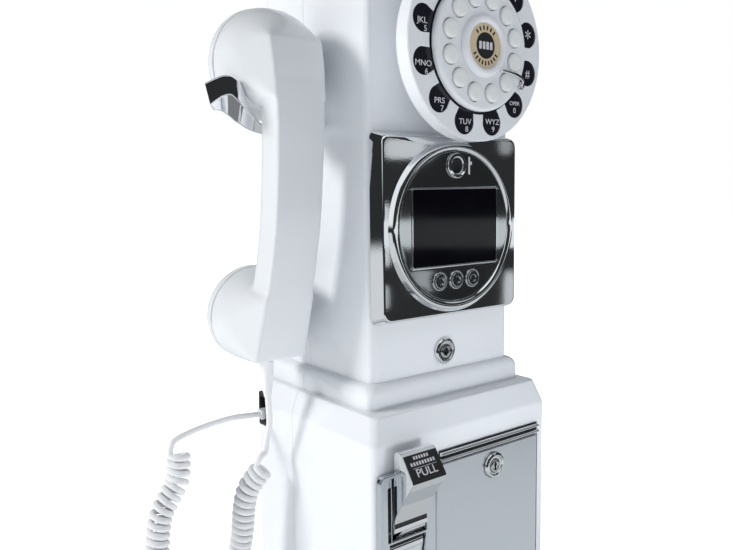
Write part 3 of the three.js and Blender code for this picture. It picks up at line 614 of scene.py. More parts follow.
def coin_gauge():
    x, y, z = spans("coin_gauge")
    top = slab("coin_gauge_block", [inset_box(x, y, 0, 6)], *z, 1.6)
    cut(top, *coin_slots(z[0] - 5, z[1] + 5))
    dress(top, CHROME, "coin_gauge")


# ---- dial

KEYS = [
    ("key_star", "", "*"), ("key_1", "", "1"), ("key_2", "ABC", "2"), ("key_3", "DEF", "3"),
    ("key_4", "GHI", "4"), ("key_5", "JKL", "5"), ("key_6", "MNO", "6"), ("key_7", "PRS", "7"),
    ("key_8", "TUV", "8"), ("key_9", "WYZ", "9"), ("key_0", "OPER", "0"), ("key_hash", "", "#"),
]
LEGEND_DEPTH = 0.12
LOBE_MOUTH_HALF = 6.2


def key_angle(i):
    return math.radians(15 + 30 * i)


def polar(radius, angle):
    return radius * math.cos(angle), DIAL_Z + radius * math.sin(angle)


def dial_housing():
    back = span("dial_housing", "y")[1]
    lip = span("dial_face", "y")[1] + 0.1
    lip_inner = DIAL_R - 1.1
    seat = lip + 1.4
    profile = [
        (10, back), (36, back), (36, back - 9.7), (52, back - 16.2), (DIAL_R, back - 19.2),
        (DIAL_R, lip), (lip_inner, lip), (lip_inner, seat), (51.6, seat),
        (51.6, back - 20.7), (48, back - 19.2), (38, back - 15.2), (10, back - 15.2),
    ]
    softness = [0, 0.6, 4, 3, 2.4, 0, 0, 0, 0, 1, 1, 1, 0]
    dress(turned("dial_cup", rounded(profile, softness), 0, DIAL_Z, 192), WHITE, "dial_housing")


def number_plate():
    (_, radius), (front, back), _ = spans("number_plate")
    outlines = [ring_points(0, DIAL_Z, radius, 160), ring_points(0, DIAL_Z, 34.6, 96)]
    dress(plate("lobe_backing", outlines, back, front, 0.1), BLACK, "number_plate")


def lobed_opening():
    """The dial face's inner edge: twelve round-ended lobes around the hub."""
    tip = LOBE_TIP_R - LOBE_R
    inner = HUB_R + 1.4
    mouth = math.asin(LOBE_MOUTH_HALF / inner)
    gap = math.radians(30) - 2 * mouth
    outline = []
    for i in range(len(KEYS)):
        middle_angle = key_angle(i)
        along = Vector((math.cos(middle_angle), math.sin(middle_angle)))
        across = Vector((-along.y, along.x))
        foot = along * math.cos(mouth) * inner
        outline.append(foot - across * LOBE_MOUTH_HALF)
        for reach, side in arc_points((tip, 0), (LOBE_R, LOBE_R), -96, 192, 18):
            outline.append(along * reach + across * side)
        outline.append(foot + across * LOBE_MOUTH_HALF)
        for step in range(1, 5):
            angle = middle_angle + mouth + gap * step / 5
            outline.append(Vector((inner * math.cos(angle), inner * math.sin(angle))))
    return [(point.x, DIAL_Z + point.y) for point in outline]


def dial_face():
    outlines = [ring_points(0, DIAL_Z, DIAL_R, 192), lobed_opening()]
    dress(plate("lobed_ring", outlines, span("dial_face", "y")[1], DIAL_Y, 0.36), WHITE, "dial_face")


def hub():
    back = span("hub_disc", "y")[1]
    holes = [ring_points(*polar(KEY_RING_R, key_angle(i)), KEY_R + 0.3, 40) for i in range(12)]
    disc = plate("hub_cover", [ring_points(0, DIAL_Z, HUB_R, 160), *holes], back, HUB_Y, 0.9)
    edge = arc_points((HUB_R - 2.2, HUB_Y + 2.2), (2.2, -2.2), 0, 90, 8)
    rim = [(HUB_R + 1, HUB_Y - 1), (HUB_R + 1, back - 0.1), *edge, (HUB_R - 3, HUB_Y - 1)]
    cut(disc, turned("cutter", rim, 0, DIAL_Z, 160))
    dress(disc, WHITE, "hub_disc")

    base = HUB_Y - 0.1
    outline = [(LABEL_R, base), (18.6, base), (17, base - 2.9), (14.2, base - 2.9), (LABEL_R, base - 1.5)]
    boss = turned("hub_ring", rounded(outline, [0, 0.3, 1.6, 1.0, 0.4]), 0, DIAL_Z)
    dress(boss, WHITE, "hub_boss")


def label():
    """The centre card: a dark disc in a cream ring, with plain tick marks."""
    front, back = span("hub_label", "y")
    card = plate("centre_card", [ring_points(0, DIAL_Z, LABEL_R, 96)], back, front, 0.2)
    dress(card, CREAM, "hub_label")
    disc = plate("centre_dot", [ring_points(0, DIAL_Z, 7.6, 72)], front, front - 0.12, 0.02)
    dress(disc, SOFT_BLACK)
    angles = [90 + 17 * (i - 2.5) for i in range(6)] + [270 + 15 * (i - 4) for i in range(9)]
    ticks = [tick(10.2, math.radians(angle), 2.5, 1.1, front) for angle in angles]
    dress(join("card_ticks", ticks), SOFT_BLACK)
    bars = [
        plate("bar", [box_points(x - 1.05, x + 1.05, DIAL_Z - 2.2, DIAL_Z + 2.2, 0.5)],
              front - 0.14, front - 0.26, 0.02)
        for x in (-4.5, -1.5, 1.5, 4.5)
    ]
    dress(join("card_bars", bars), PRINT)


def tick(radius, angle, length, width, y):
    along = Vector((math.cos(angle), math.sin(angle)))
    across = Vector((-along.y, along.x)) * width / 2
    corners = []
    for reach, side in ((-1, -1), (1, -1), (1, 1), (-1, 1)):
        corner = along * (radius + reach * length / 2) + across * side
        corners.append((corner.x, DIAL_Z + corner.y))
    return plate("tick", [corners], y, y - 0.12, 0.02)


def lettering(text, x, z, y, height, squeeze):
    """Upright raised print that faces the front."""
    curve = bpy.data.curves.new("print", "FONT")
    curve.body = text
    curve.size = height * 1.38 * MM
    curve.align_x = "CENTER"
    curve.align_y = "CENTER"
    curve.extrude = LEGEND_DEPTH / 2 * MM
    curve.offset = 0.00001
    mesh = mesh_of_curve(curve)
    mesh.transform(Matrix.Diagonal((squeeze, 1, 1, 1)))
    mesh.transform(TO_FRONT)
    mesh.transform(Matrix.Translation(Vector((x, y, z)) * MM))
    tidy_mesh(mesh)
    return new_object("print", mesh)


def legends():
    """Letters near the rim with their digit below, as raised print on the dark lobes."""
    y = span("number_plate", "y")[0] - LEGEND_DEPTH / 2 - 0.02
    texts = []
    for i, (_, letters, digit) in enumerate(KEYS):
        angle = key_angle(i)
        if not letters:
            x, z = polar(46.5, angle)
            lower, height = (2.2, 9) if digit == "*" else (0, 5.2)
            texts.append(lettering(digit, x, z - lower, y, height, 1))
            continue
        x, z = polar(45.2, angle + math.radians(1.7))
        height = 2.4 if len(letters) == 4 else 3.4
        texts.append(lettering(letters, x, z, y, height, 1.15))
        texts.append(lettering(digit, x + 1 - 1.4 * math.cos(angle), z - 4.4, y, 3.4, 1.1))
    dress(join("dial_legends", texts), PRINT, sharp=None)


def keys():
    for i, (node, _, _) in enumerate(KEYS):
        x, z = polar(KEY_RING_R, key_angle(i))
        front, back = span(node, "y")
        face = HUB_Y - 0.9
        profile = [
            (0, back), (3, back), (3, back - 0.7), (6, back - 0.7), (6, back - 1.7),
            (KEY_R, back - 1.7), (KEY_R, HUB_Y + 1), (KEY_R, face + 0.4),
        ]
        for share, y in arc_points((0, face), (1, -1.1), 0, 90, 8)[:-1]:
            profile.append((KEY_R * share**0.5, y))
        profile.append((0, front))
        dress(turned(node + "_cap", profile, x, z, 48), KEY_WHITE, node, body=node)


def finger_stop():
    """A bent chrome strip with a screwed tab on the dial's face."""
    bends = [(37.5, 1.2, 19.5), (34.8, 3.6, 18.9), (32.0, 6.6, 17.7), (26.0, 8.0, 15.7),
             (18.0, 8.2, 14.2), (11.6, 8.1, 13.6)]
    path = smooth_path([(x, DIAL_Y - out, DIAL_Z - drop) for x, out, drop in bends], 8)
    strip = swept("strip", path, lambda share: 0.8, lambda share: 1.7 - 0.6 * share, 14)
    screw = [(0, 0.3), (3.3, 0.3), (3.3, 1.3), (1.8, 1.5), (1.8, 2.1), (0, 2.1)]
    profile = [(radius, DIAL_Y - out) for radius, out in screw]
    softness = [0, 0.1, 0.4, 0.1, 0.4, 0]
    tab = turned("tab", rounded(profile, softness), 36.7, DIAL_Z - 19.4, 40)
    dress(join("finger_stop_wire", [strip, tab]), CHROME, "finger_stop")


# ---- display unit


def face_plate():
    """A square chrome plate with rolled edges, and a raised ring around the panel."""
    x, (ring_front, back), z = spans("face_plate")
    levels = [(back, 0), (PLATE_Y + 2, 2.2), (PLATE_Y + 1.1, 2.5), (PLATE_Y + 0.5, 2.9),
              (PLATE_Y + 0.1, 3.4), (PLATE_Y, 4.0)]
    square = lofted("plate", [at_depth(inset_box(x, z, inset, 6, 8), y) for y, inset in levels])
    pocket = inset_box(x, z, 4, 4, 8)
    cut(
        square,
        lofted("cutter", [at_depth(pocket, y) for y in (back + 5, PLATE_Y + 1.6)]),
        drill(47, back + 5, PLATE_Y - 5, 0, PLATE_Z, 128),
    )
    outline = [(47, PLATE_Y + 2), (RING_R + 1, PLATE_Y + 0.5), (RING_R, PLATE_Y - 0.8),
               (RING_R - 1.6, ring_front), (48.6, ring_front), (47, ring_front + 1.4)]
    ring = turned("ring", rounded(outline, [0, 0, 1.2, 1.4, 1.2, 0.8]), 0, PLATE_Z, 160)
    dress(join("face_plate_chrome", [square, ring]), CHROME, "face_plate")


def display_panel():
    """The dark round panel with its framed window, its three buttons and its indicator."""
    x, _, z = spans("display_window")
    bezel_z, button_z = middle("round_bezel", "z"), middle("button_middle", "z")
    buttons = {node: middle(node, "x") for node in ("button_left", "button_middle", "button_right")}
    outlines = [
        ring_points(0, PLATE_Z, PANEL_R, 160),
        inset_box(x, z, -0.3, 1),
        ring_points(0, bezel_z, 6.3, 48),
        *[ring_points(button_x, button_z, BUTTON_HOLE_R, 48) for button_x in buttons.values()],
    ]
    dress(plate("dark_panel", outlines, PANEL_Y + 2.4, PANEL_Y, 0.25), PANEL, "display_panel")

    border = [inset_box(x, z, -0.5, 1.2), inset_box(x, z, 0.3, 0.8)]
    dress(plate("window_frame", border, PANEL_Y - 0.05, PANEL_Y - 0.5, 0.15), CHROME)
    glass = plate("display_lens", [inset_box(x, z, 0, 1)], PANEL_Y + 2.2, PANEL_Y - 0.2, 0.3)
    dress(glass, GLASS, "display_window")
    for i, (node, button_x) in enumerate(buttons.items()):
        collar(f"button_rim_{i + 1}", button_x, button_z)
        function_button(node, button_x, button_z)
    indicator(bezel_z)


def collar(name, x, z):
    inner, outer = BUTTON_HOLE_R, BUTTON_HOLE_R + 1
    base, face = PANEL_Y - 0.05, PANEL_Y - 0.7
    outline = [(inner, base), (outer, base), (outer, face), (inner, face)]
    dress(turned(name, rounded(outline, [0, 0, 0.35, 0.35]), x, z, 56), CHROME)


def function_button(node, x, z):
    back = span(node, "y")[1]
    front = PANEL_Y - 1.3
    profile = [(0, back), (5.5, back), (5.5, back - 1), (4.6, back - 1), (4.6, front + 0.5)]
    profile += arc_points((4.1, front + 0.5), (0.5, -0.5), 0, 90, 4)
    profile += [(2.4, front + 0.05), (2.0, front + 0.4), (0, front + 0.4)]
    dress(turned(node + "_cap", profile, x, z, 48), PANEL, node, body=node)


def indicator(z):
    """The small round bezel with a black disc painted as shade at the bottom of its hole, and a plain mark
    beside it.
    """
    front, back = span("round_bezel", "y")
    outline = [
        (0, back), (6, back), (6, PANEL_Y - 0.3), (7.85, PANEL_Y - 0.3), (7.85, front + 0.2),
        (5.4, front), (4.7, front + 0.6), (4.6, PANEL_Y + 4), (0, PANEL_Y + 4),
    ]
    softness = [0, 0, 0, 0.2, 0.9, 0.6, 0.3, 0.4, 0]
    bezel = turned("indicator_bezel", rounded(outline, softness), 0, z, 72)
    dress(bezel, CHROME, "round_bezel")
    # A black disc at the bottom of the bezel's hole paints the shade in its depth.
    well = drill(4.5, PANEL_Y + 3.9, PANEL_Y + 3.3, 0, z)
    well.name = "indicator_well_shade"
    dress(well, SOFT_BLACK)
    bars = [
        plate("bar", [outline], PANEL_Y - 0.02, PANEL_Y - 0.2, 0.05)
        for outline in (
            box_points(10.6, 12.0, z - 5.5, z + 5.5, 0.3),
            box_points(12.1, 13.6, z + 0.5, z + 2.6, 0.3),
        )
    ]
    dress(join("indicator_mark", bars), PRINT)


# ---- cam locks


def cam_lock(body_node, plug_node, fixed_body, turning_body):
    x, z = middle(body_node, "x"), middle(body_node, "z")
    front, back = span(body_node, "y")
    face = front + 2.1
    outline = [
        (4.8, back), (6.4, back), (6.4, face), (8.7, face), (8.7, front + 1.0), (7.4, front),
        (6.3, front), (5.9, front + 0.9), (4.8, front + 0.9),
    ]
    softness = [0, 0, 0, 0.2, 0.9, 0.6, 0.4, 0.3, 0.2]
    bezel = turned(body_node + "_bezel", rounded(outline, softness), x, z, 72)
    dress(bezel, CHROME, body_node, body=fixed_body)

    _, (_, plug_back), cam_z = spans(plug_node)
    outline = [(0, plug_back), (4.5, plug_back), (4.5, front + 0.4), (2.9, front + 0.1),
               (2.6, front + 0.5), (0, front + 0.5)]
    plug = turned("plug", rounded(outline, [0, 0, 0.5, 0.3, 0.2, 0]), x, z, 56)
    cut(
        plug,
        block((x - 0.75, x + 0.75), (front - 3, front + 4), (z - 2.8, z + 2.8)),
        drill(1.3, front + 4, front - 3, x, z + 0.8, 24),
    )
    cam = plate("cam", [box_points(x - 3, x + 3, *cam_z, 2.4)], plug_back, plug_back - 1.6, 0.2)
    whole = join(plug_node + "_turning", [plug, cam])
    dress(whole, PANEL, plug_node, body=turning_body, slot="chrome")


# ---- vault door


def door_rail():
    """A dark bed with two half-round chrome ribs."""
    (x0, x1), (_, back), (z0, z1) = spans("door_rail")
    dress(side_bar("rail_bed", [box_points(back - 0.8, back, z0, z1, 0.2)], x0, x1, 0.1), SOFT_BLACK)
    step = (z1 - z0) / 4
    ribs = []
    for rib_z in (z1 - step, z0 + step):
        outline = arc_points((back - 1.2, rib_z), (2, step - 0.8), 90, 180, 12)
        outline += [(back - 0.4, outline[-1][1]), (back - 0.4, outline[0][1])]
        ribs.append(side_bar("rib", [outline], x0 + 0.3, x1 - 0.3, 0.15))
    dress(join("rail_ribs", ribs), CHROME, "door_rail")


def vault_door():
    """A satin leaf, rolled around its hinge pin at the right."""
    (x0, _), (y0, _), (z0, z1) = spans("vault_door")
    plan = [(x0, y0 + 3), (x0, y0), *arc_points((HINGE_X, HINGE_Y), (3, 3), -90, 270, 24)]
    leaf = slab("vault_door_leaf", [plan], z0, z1, 0.45)
    lock_x, lock_z = middle("vault_lock_body", "x"), middle("vault_lock_body", "z")
    cut(
        leaf,
        drill(LOCK_HOLE_R, y0 + 6, y0 - 6, lock_x, lock_z),
        block((HINGE_X - 1.2, HINGE_X + 1.2), (HINGE_Y - 1.2, HINGE_Y + 1.2), (z0 - 5, z1 + 5)),
    )
    dress(leaf, SATIN, "vault_door", body="vault_door")


# ---- coin return


def return_bezel():
    """The coin return's plate, with openings for the lever, the flap and a slot."""
    x, _, z = spans("return_bezel")
    back = LOWER_FRONT - 0.3
    face = back - 2.6
    lever = box_points(-65.1, -37.9, 93, 105.8)
    flap = box_points(-66.8, -38.4, 31, 91.6)
    slot = box_points(-67.9, -65.5, 93, 126.5, 0.8)
    seam = box_points(-66.8, -66.5, 127.4, z[1] - 4)
    base = plate("return_plate", [inset_box(x, z, 0, 5), lever, flap, slot, seam], back, face, 0.35)
    rim = [inset_box(x, z, 0, 5, 8), inset_box(x, z, 2.6, 3.2, 8)]
    border = plate("border", rim, face + 0.5, face - 1.2, 0.75)
    dress(join("coin_return_plate", [base, border]), SATIN, "return_bezel")
    # A black sheet just behind the plate paints shade into the slot and the seam.
    backing = [box_points(-68.6, -65.2, 92.4, 133)]
    dress(plate("coin_slot_painted_shade", backing, back + 0.2, back + 0.1, 0.02), SOFT_BLACK)


def return_lever():
    """A wedge with a hollow front, a sloping label face and a lip below a groove."""
    (x0, x1), (nose_y, _), (_, top_z) = spans("return_lever")
    low, high = Vector((nose_y + 0.5, 134.6)), Vector((-79.6, 147.2))
    outline = [(LEVER_PIN[0] + 2.6, LEVER_PIN[1] + 1.9), *arc_points(LEVER_PIN, (3.2, 3.2), 36, -230, 14)]
    outline += [(-71.2, 97.6), (-72.2, 98.6), (-72.6, 101.4), (-71.7, 101.7), (-71.7, 104.1)]
    outline.append((-72.7, 104.4))
    for i in range(1, 16):
        t = i / 15
        u = 1 - t
        y = -72.7 * u**3 - 73.4 * 3 * u * u * t - 81.5 * 3 * u * t * t + (nose_y + 0.3) * t**3
        z = 104.4 * u**3 + 111.5 * 3 * u * u * t + 121.4 * 3 * u * t * t + 132.2 * t**3
        outline.append((y, z))
    outline += [(nose_y, 133.2), tuple(low), tuple(high), (-78.4, 148.4), (-76.4, top_z)]
    outline += [(-73.6, top_z - 0.4), (-72.5, top_z - 1.6), (-71.4, 106)]
    bar = side_bar("lever_wedge", [outline], x0, x1, 0.35)
    dress(bar, CHROME, "return_lever", body="return_lever")

    # A black strip filling the groove paints the shade inside it.
    groove = block((x0 + 0.5, x1 - 0.5), (-72.3, -71.6), (101.75, 104.05))
    groove.name = "lever_groove_shade"
    dress(groove, SOFT_BLACK, body="return_lever")
    lever_label(x0, x1, low, high)


def lever_label(x0, x1, low, high):
    """A dark field on the lever's slope with rows of plain marks, a line and a word."""
    length = (high - low).length
    along = (high - low).normalized()
    outward = Vector((-along.y, along.x))
    if outward.x > 0:
        outward = -outward

    def patch(left, right, start, end, lift, thickness):
        corners = [(start, lift), (end, lift), (end, lift + thickness), (start, lift + thickness)]
        base = [low + along * a + outward * b for a, b in corners]
        return lofted("patch", [[(x, y, z) for y, z in base] for x in (left, right)])

    field = patch(x0 + 0.5, x1 - 0.5, 0.4, length - 0.4, 0.02, 0.15)
    field.name = "lever_field"
    dress(field, SOFT_BLACK, body="return_lever")
    centre_x = (x0 + x1) / 2
    marks = [patch(centre_x - 9, centre_x + 9, 7, 7.2, 0.17, 0.12)]
    for start, height, count, row_width in ((8.5, 2, 9, 19), (12, 1.8, 6, 12)):
        pitch = row_width / count
        for i in range(count):
            left = centre_x - row_width / 2 + pitch * i
            marks.append(patch(left, left + pitch * 0.6, start, start + height, 0.17, 0.12))
    word = lettering("PULL", 0, 0, 0, 4.8, 1.1)
    word.data.transform(Matrix.Rotation(-math.atan2(along.x, along.y), 4, "X"))
    seat = low + along * 3.9 + outward * 0.25
    word.data.transform(Matrix.Translation(Vector((centre_x, *seat)) * MM))
    dress(join("lever_marks", [*marks, word]), PRINT, body="return_lever", slot="chrome")


def return_flap():
    x, _, (z0, _) = spans("return_flap")
    outline = arc_points(FLAP_PIN, (2.2, 2.2), -60, 200, 14)
    outline += [(-69.2, 87.6), (-69.0, 84.5), (-67.9, 80), (-67.8, z0 + 6), (-68.6, z0),
                (-67.2, z0), (-66.4, z0 + 6), (-66.5, 80), (-66.0, 85.6)]
    flap = side_bar("flap_scoop", [outline], *x, 0.25)
    dress(flap, CHROME, "return_flap", body="return_flap")


# ---- hook


def hook():
    """A chrome cradle: it leaves the side slot, passes under the ear cup and curls up
    to a flared lip. Each section runs crest, fold and underside, then its thickness."""
    sections = [
        ((-58, 5, 339), (-58, 3.6, 336), (-58, 5, 333), 9),
        ((-72, 1, 339), (-72, -0.6, 336), (-72, 2, 333), 10),
        ((-88, -5, 337.6), (-88, -6.4, 335.2), (-88, -1, 332.4), 10),
        ((-101, -7.4, 336.8), (-101.6, -8.4, 335.4), (-98, 0, 332.4), 9),
        ((-109, -7.6, 338.2), (-110, -8.6, 336.8), (-105, 0, 333.1), 7),
        ((-114, -9, 343.2), (-115, -9.8, 341), (-110.6, 0, 334.3), 5),
        ((-119.6, -11.6, 350), (-121, -12.8, 344.8), (-115.6, -1, 335.8), 3.6),
        ((-122.8, -12.4, 357.4), (-125.2, -13.8, 347.8), (-120, -2, 337.8), 2.8),
        ((-125.4, -12.2, 361), (-127.8, -13.8, 350.4), (-123.2, -2.4, 339.2), 2.4),
        ((-129, -11.8, 363), (-131, -13.4, 352.6), (-126.6, -2.6, 341.6), 2.2),
        ((-133.6, -11, 363.4), (-135.4, -12.6, 351.6), (-130.4, -2.6, 344), 2),
        ((-138.6, -10, 361.4), (-139.2, -11.4, 349), (-133.6, -2.4, 344.8), 2),
        ((-144.4, -9, 358.4), (-142, -10.2, 346.4), (-136.4, -2.4, 345), 2),
    ]
    lines = [smooth_path([section[k] for section in sections], 6) for k in range(3)]
    depths = smooth_path([(section[3], 0, 0) for section in sections], 6)
    rings = []
    for crest, fold, under, depth in zip(*lines, depths):
        inwards = Vector((0.4, 0.9, 0.05)) * depth.x
        corners = [crest, fold, under, under + inwards, fold + inwards, crest + inwards]
        rings.append(rounded(corners, 1.0, steps=4))
    cradle = lofted("cradle", rings)
    merge(cradle, block((-62, -40), (3, 13), (333, 339)), drill(4.2, 13, 3, *HOOK_PIN))
    cut(cradle, drill(1.8, 20, -5, *HOOK_PIN, 32))
    cradle.name = "hook_cradle"
    dress(cradle, CHROME, "hook_lever", body="hook")


# ---- handset

VOXEL = 0.9


def handle_front(z):
    """Front of the handle: it bows forward, and turns back sharply at the top."""
    crest_y, crest_z = -10.2, -5
    if z > crest_z:
        return crest_y + 9.9 * ((z - crest_z) / 93) ** 3.5
    return crest_y + 13.8 * ((crest_z - z) / 86) ** 1.5


def handle_half(z):
    """Half the handle's width, which grows a little towards both cups."""
    return HANDLE_HALF + 1.2 * ((z + 5) / 95) ** 2


def handle_bar():
    rings = []
    for i in range(41):
        z = 66 - 3.3 * i
        front, half = handle_front(z), handle_half(z)
        back = front + HANDLE_DEPTH
        corners = [(-half, front), (half, front), (half, back), (-half, back)]
        rings.append([(x, y, z) for x, y in rounded(corners, [2.2, 2.2, 6, 6], steps=5)])
    return lofted("handset_shell", rings)


def bowl(cup, end_z):
    """Widens from the handle's end to the cup's round rim."""
    inward = -math.copysign(1, cup["z"])
    points = []
    for z in (end_z, (end_z + cup["z"]) / 2, cup["z"], cup["z"] + inward * 20):
        for x in (-handle_half(z), handle_half(z)):
            points.append((x, handle_front(z), z))
    for step in range(12):
        share = step / 11
        radius = cup["r"] * math.sqrt(1 - 0.66 * share**2.2)
        points += at_depth(ring_points(0, cup["z"], radius, 72), cup["rim"] - 33 * share)
    bm = bmesh.new()
    for point in points:
        bm.verts.new(Vector(point) * MM)
    bmesh.ops.convex_hull(bm, input=bm.verts)
    loose = [v for v in bm.verts if not v.link_faces]
    bmesh.ops.delete(bm, geom=loose, context="VERTS")
    return new_object("bowl", mesh_of("bowl", bm))


def hollow(cup):
    radius, rim = cup["r"], cup["rim"]
    profile = [(0, rim - 25.5), (radius - 12, rim - 25.5), (radius - 5, rim - 12.5),
               (radius - 3.6, rim + 2), (0, rim + 2)]
    return turned("cutter", profile, 0, cup["z"], 64)


def handset_shell():
    shell = merge(handle_bar(), bowl(EAR, 90), bowl(MOUTH, -101))
    remesh = shell.modifiers.new("skin", "REMESH")
    remesh.mode = "VOXEL"
    remesh.voxel_size = VOXEL * MM
    bake(shell)
    smooth = shell.modifiers.new("soften", "SMOOTH")
    smooth.factor = 0.5
    smooth.iterations = 14
    bake(shell)
    cut(shell, hollow(EAR), hollow(MOUTH))
    shell.data.transform(HANDSET_AT @ HANDSET_LEAN)
    dress(shell, HANDSET_SHADED_WHITE, "handset_body", body="handset")


def cap(name, node, cup, dish, hole_rings):
    """A screwed cap with a soft rim, a dished face and rings of sound holes."""
    base, edge, face = cup["rim"] + 0.12, cup["r"], cup["face"]
    outline = [
        (0, base + 3), (edge - 4, base + 3), (edge - 4, base), (edge, base), (edge, face - 3.4),
        (edge - 3.6, face), (edge - 9, face - dish * 0.6), (0, face - dish),
    ]
    softness = [0, 0, 0, 0.5, 2.6, 2.6, 4, 0]
    body = turned(name, rounded(outline, softness, steps=7), 0, cup["z"], 120)
    places = [place for radius, count in hole_rings for place in ring_points(0, cup["z"], radius, count)]
    cut(body, *[drill(1.3, face + 5, base - 5, x, z, 20) for x, z in places])
    body.data.transform(HANDSET_AT @ HANDSET_LEAN)
    dress(body, HANDSET_SHADED_WHITE, node, body="handset")


# ---- cord

LEAD_R = 2.0
WIRE_R = 2.15
COIL_TURN_R = 5.85
COIL_PITCH = 5.1
STEPS_PER_TURN = 22


def coil(path, leaves):
    """A wire wound about a path, ending on the side that "leaves" points to.
    Gives the piece and the point where the wire ends."""
    stations = frames_along(path)
    lengths = [0.0]
    for a, b in zip(path, path[1:]):
        lengths.append(lengths[-1] + (b - a).length)
    total = lengths[-1]
    turns = round(total / COIL_PITCH)
    _, last_side, last_up = stations[-1]
    last_angle = math.atan2(last_up.dot(leaves), last_side.dot(leaves))
    steps = turns * STEPS_PER_TURN
    wire = []
    k = 0
    for i in range(steps + 1):
        distance = total * i / steps
        while k < len(path) - 2 and lengths[k + 1] < distance:
            k += 1
        share = (distance - lengths[k]) / (lengths[k + 1] - lengths[k])
        centre, side, up = [a.lerp(b, share) for a, b in zip(stations[k], stations[k + 1])]
        angle = last_angle + 2 * math.pi * turns * (i / steps - 1)
        reach = side * math.cos(angle) + up * math.sin(angle)
        wire.append(centre + reach * COIL_TURN_R)
    return rod("coil", wire, WIRE_R, 8), wire[-1]


def cord():
    """Two halves that meet at the bottom of the loop: one hangs from the handset, the
    other hangs from the jack and stays put."""
    lowest = (-131.5, 47.5, 16)
    right_coil, right_end = coil(
        smooth_path([lowest, (-118, 46.6, 23), (-109, 45, 40), (-105.4, 40, 66), (-104.6, 36, 90),
                     (-102.6, 33.4, 102), (-98.6, 30.6, 110), (-95, 27.6, 116)]),
        Vector((-0.8, -0.2, 0.5)),
    )
    left_coil, left_end = coil(
        smooth_path([lowest, (-145, 48, 19), (-155, 48.5, 31), (-160.5, 49, 54), (-159.6, 50, 78),
                     (-156.5, 50, 94), (-150.5, 50, 104), (-145.4, 50, 112), (-143.8, 50, 120),
                     (-143.5, 50, 131)]),
        Vector((-1, 0, 0)),
    )
    handset_lead = smooth_path(
        [right_end, right_end + Vector((2.6, -1, 6)), (-93, 27, 127), (-92.6, 25.4, 134),
         (-93.6, 19, 149), (-96.4, 14.8, 164), (-97, 14.5, 176)]
    )
    jack_lead = smooth_path(
        [left_end, left_end + Vector((1, 0, 5)), (-145, 50.2, 140.4), (-128, 52, 143.8),
         (-104, 55, 145), (-87, 58, 143), (-79, 58.8, 142)]
    )
    relief_path = smooth_path([(-96.8, 14.6, 168), (-97, 14.5, 176), (-97, 14.5, 191.5)], 8)

    def relief_r(share):
        return 2.3 + 2.4 * share

    relief = swept("relief", relief_path, relief_r, relief_r, 28)
    hanging = join("cord_handset_half", [right_coil, rod("lead", handset_lead, LEAD_R, 14), relief])
    dress(hanging, VINYL, "cord", body=None, sharp=60)
    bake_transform(hanging)
    fixed = join("cord_jack_half", [left_coil, rod("lead", jack_lead, LEAD_R, 14)])
    dress(fixed, VINYL, sharp=60)


def jack():
    """A black socket with a stepped mouth and a clear plug."""
    x, y, z = spans("line_jack")
    socket = block(x, y, z)
    cut(socket, block((x[0] - 5, x[0] + 6), (y[0] + 1.8, y[1] - 1.8), (z[0] + 3, z[1] - 3)))
    socket.name = "jack_socket"
    dress(socket, SOFT_BLACK, "line_jack")
    plug_y, plug_z, half = sum(y) / 2, 142, 3.3
    outline = box_points(plug_y - half, plug_y + half, plug_z - half, plug_z + half, 0.6)
    dress(side_bar("jack_plug", [outline], x[0] - 3, x[0] + 5.6, 0.4), CLEAR)


# ---- inside pieces


def hidden_pieces():
    """CAD nodes that stay as they are and only get their materials."""
    finishes = {
        STEEL: ["coin_chute", "display_module", "vault_hinge_pin", "lever_pin", "flap_pin",
                "hook_pin", "hook_spring", "receiver"],
        BOARD: ["keypad_board", "main_board"],
        SOFT_BLACK: ["hook_switch", "ringer", "microphone"],
        VINYL: ["coin_cup"],
    }
    for material, nodes in finishes.items():
        for node in nodes:
            for slot in frame["nodes"][node].material_slots:
                slot.material = material
    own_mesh(frame["nodes"]["hook_spring"])


# ---- stage

CAMERA_AT = (-328.8, -392.4, 299.6)
CAMERA_YAW = 37.53
CAMERA_PITCH = -5.886
CAMERA_ROLL = -0.7506
CAMERA_LENS = 36.51
CAMERA_SHIFT_Y = -0.0138


def camera():
    """The camera stands at the front left, turned to the right and slightly down."""
    lens = bpy.data.cameras.new("camera")
    lens.lens = CAMERA_LENS
    lens.shift_y = CAMERA_SHIFT_Y
    lens.clip_start = 0.01
    obj = new_object("camera", lens)
    obj.matrix_world = Matrix.Translation(Vector(CAMERA_AT) * MM)
    for degrees, axis in ((-CAMERA_YAW, "Z"), (90 + CAMERA_PITCH, "X"), (CAMERA_ROLL, "Z")):
        obj.matrix_world = obj.matrix_world @ Matrix.Rotation(math.radians(degrees), 4, axis)
    bpy.context.scene.camera = obj


# Soft shapes that only reflections see: azimuth from the front towards the right,
# elevation, half width and half height in degrees, softness as a share, brightness.
REFLECTED = [
    (44.5, -3.5, 60, 1.1, 0.35, 0.85),
    (40.6, 3.0, 1.7, 0.8, 0.9, 0.6),
    (48.2, 3.6, 0.5, 1.2, 0.9, 0.3),
    (48.6, -8.4, 0.5, 2.0, 0.9, 0.6),
    (38.9, -8.4, 0.4, 0.9, 0.9, 0.45),
    (39.1, -3.6, 0.35, 2.4, 0.5, 0.7),
    (41.8, -7.2, 0.9, 0.9, 0.9, 0.5),
    (-58, 26, 14, 26, 0.5, 0.9),
    (-20, 60, 50, 20, 0.6, 0.9),
    (60, 38, 26, 7, 0.6, 0.5),
    (0, -27, 400, 11.5, 0.3, 0.66),
    (0, -40, 400, 24, 0.9, 0.52),
    (0, -70, 400, 34, 0.5, 0.2),
    (-98, -20, 42, 15.5, 0.2, 0.7),
    (150, 20, 26, 16, 0.5, 0.5),
]
REFLECTED_DARK = 0.028


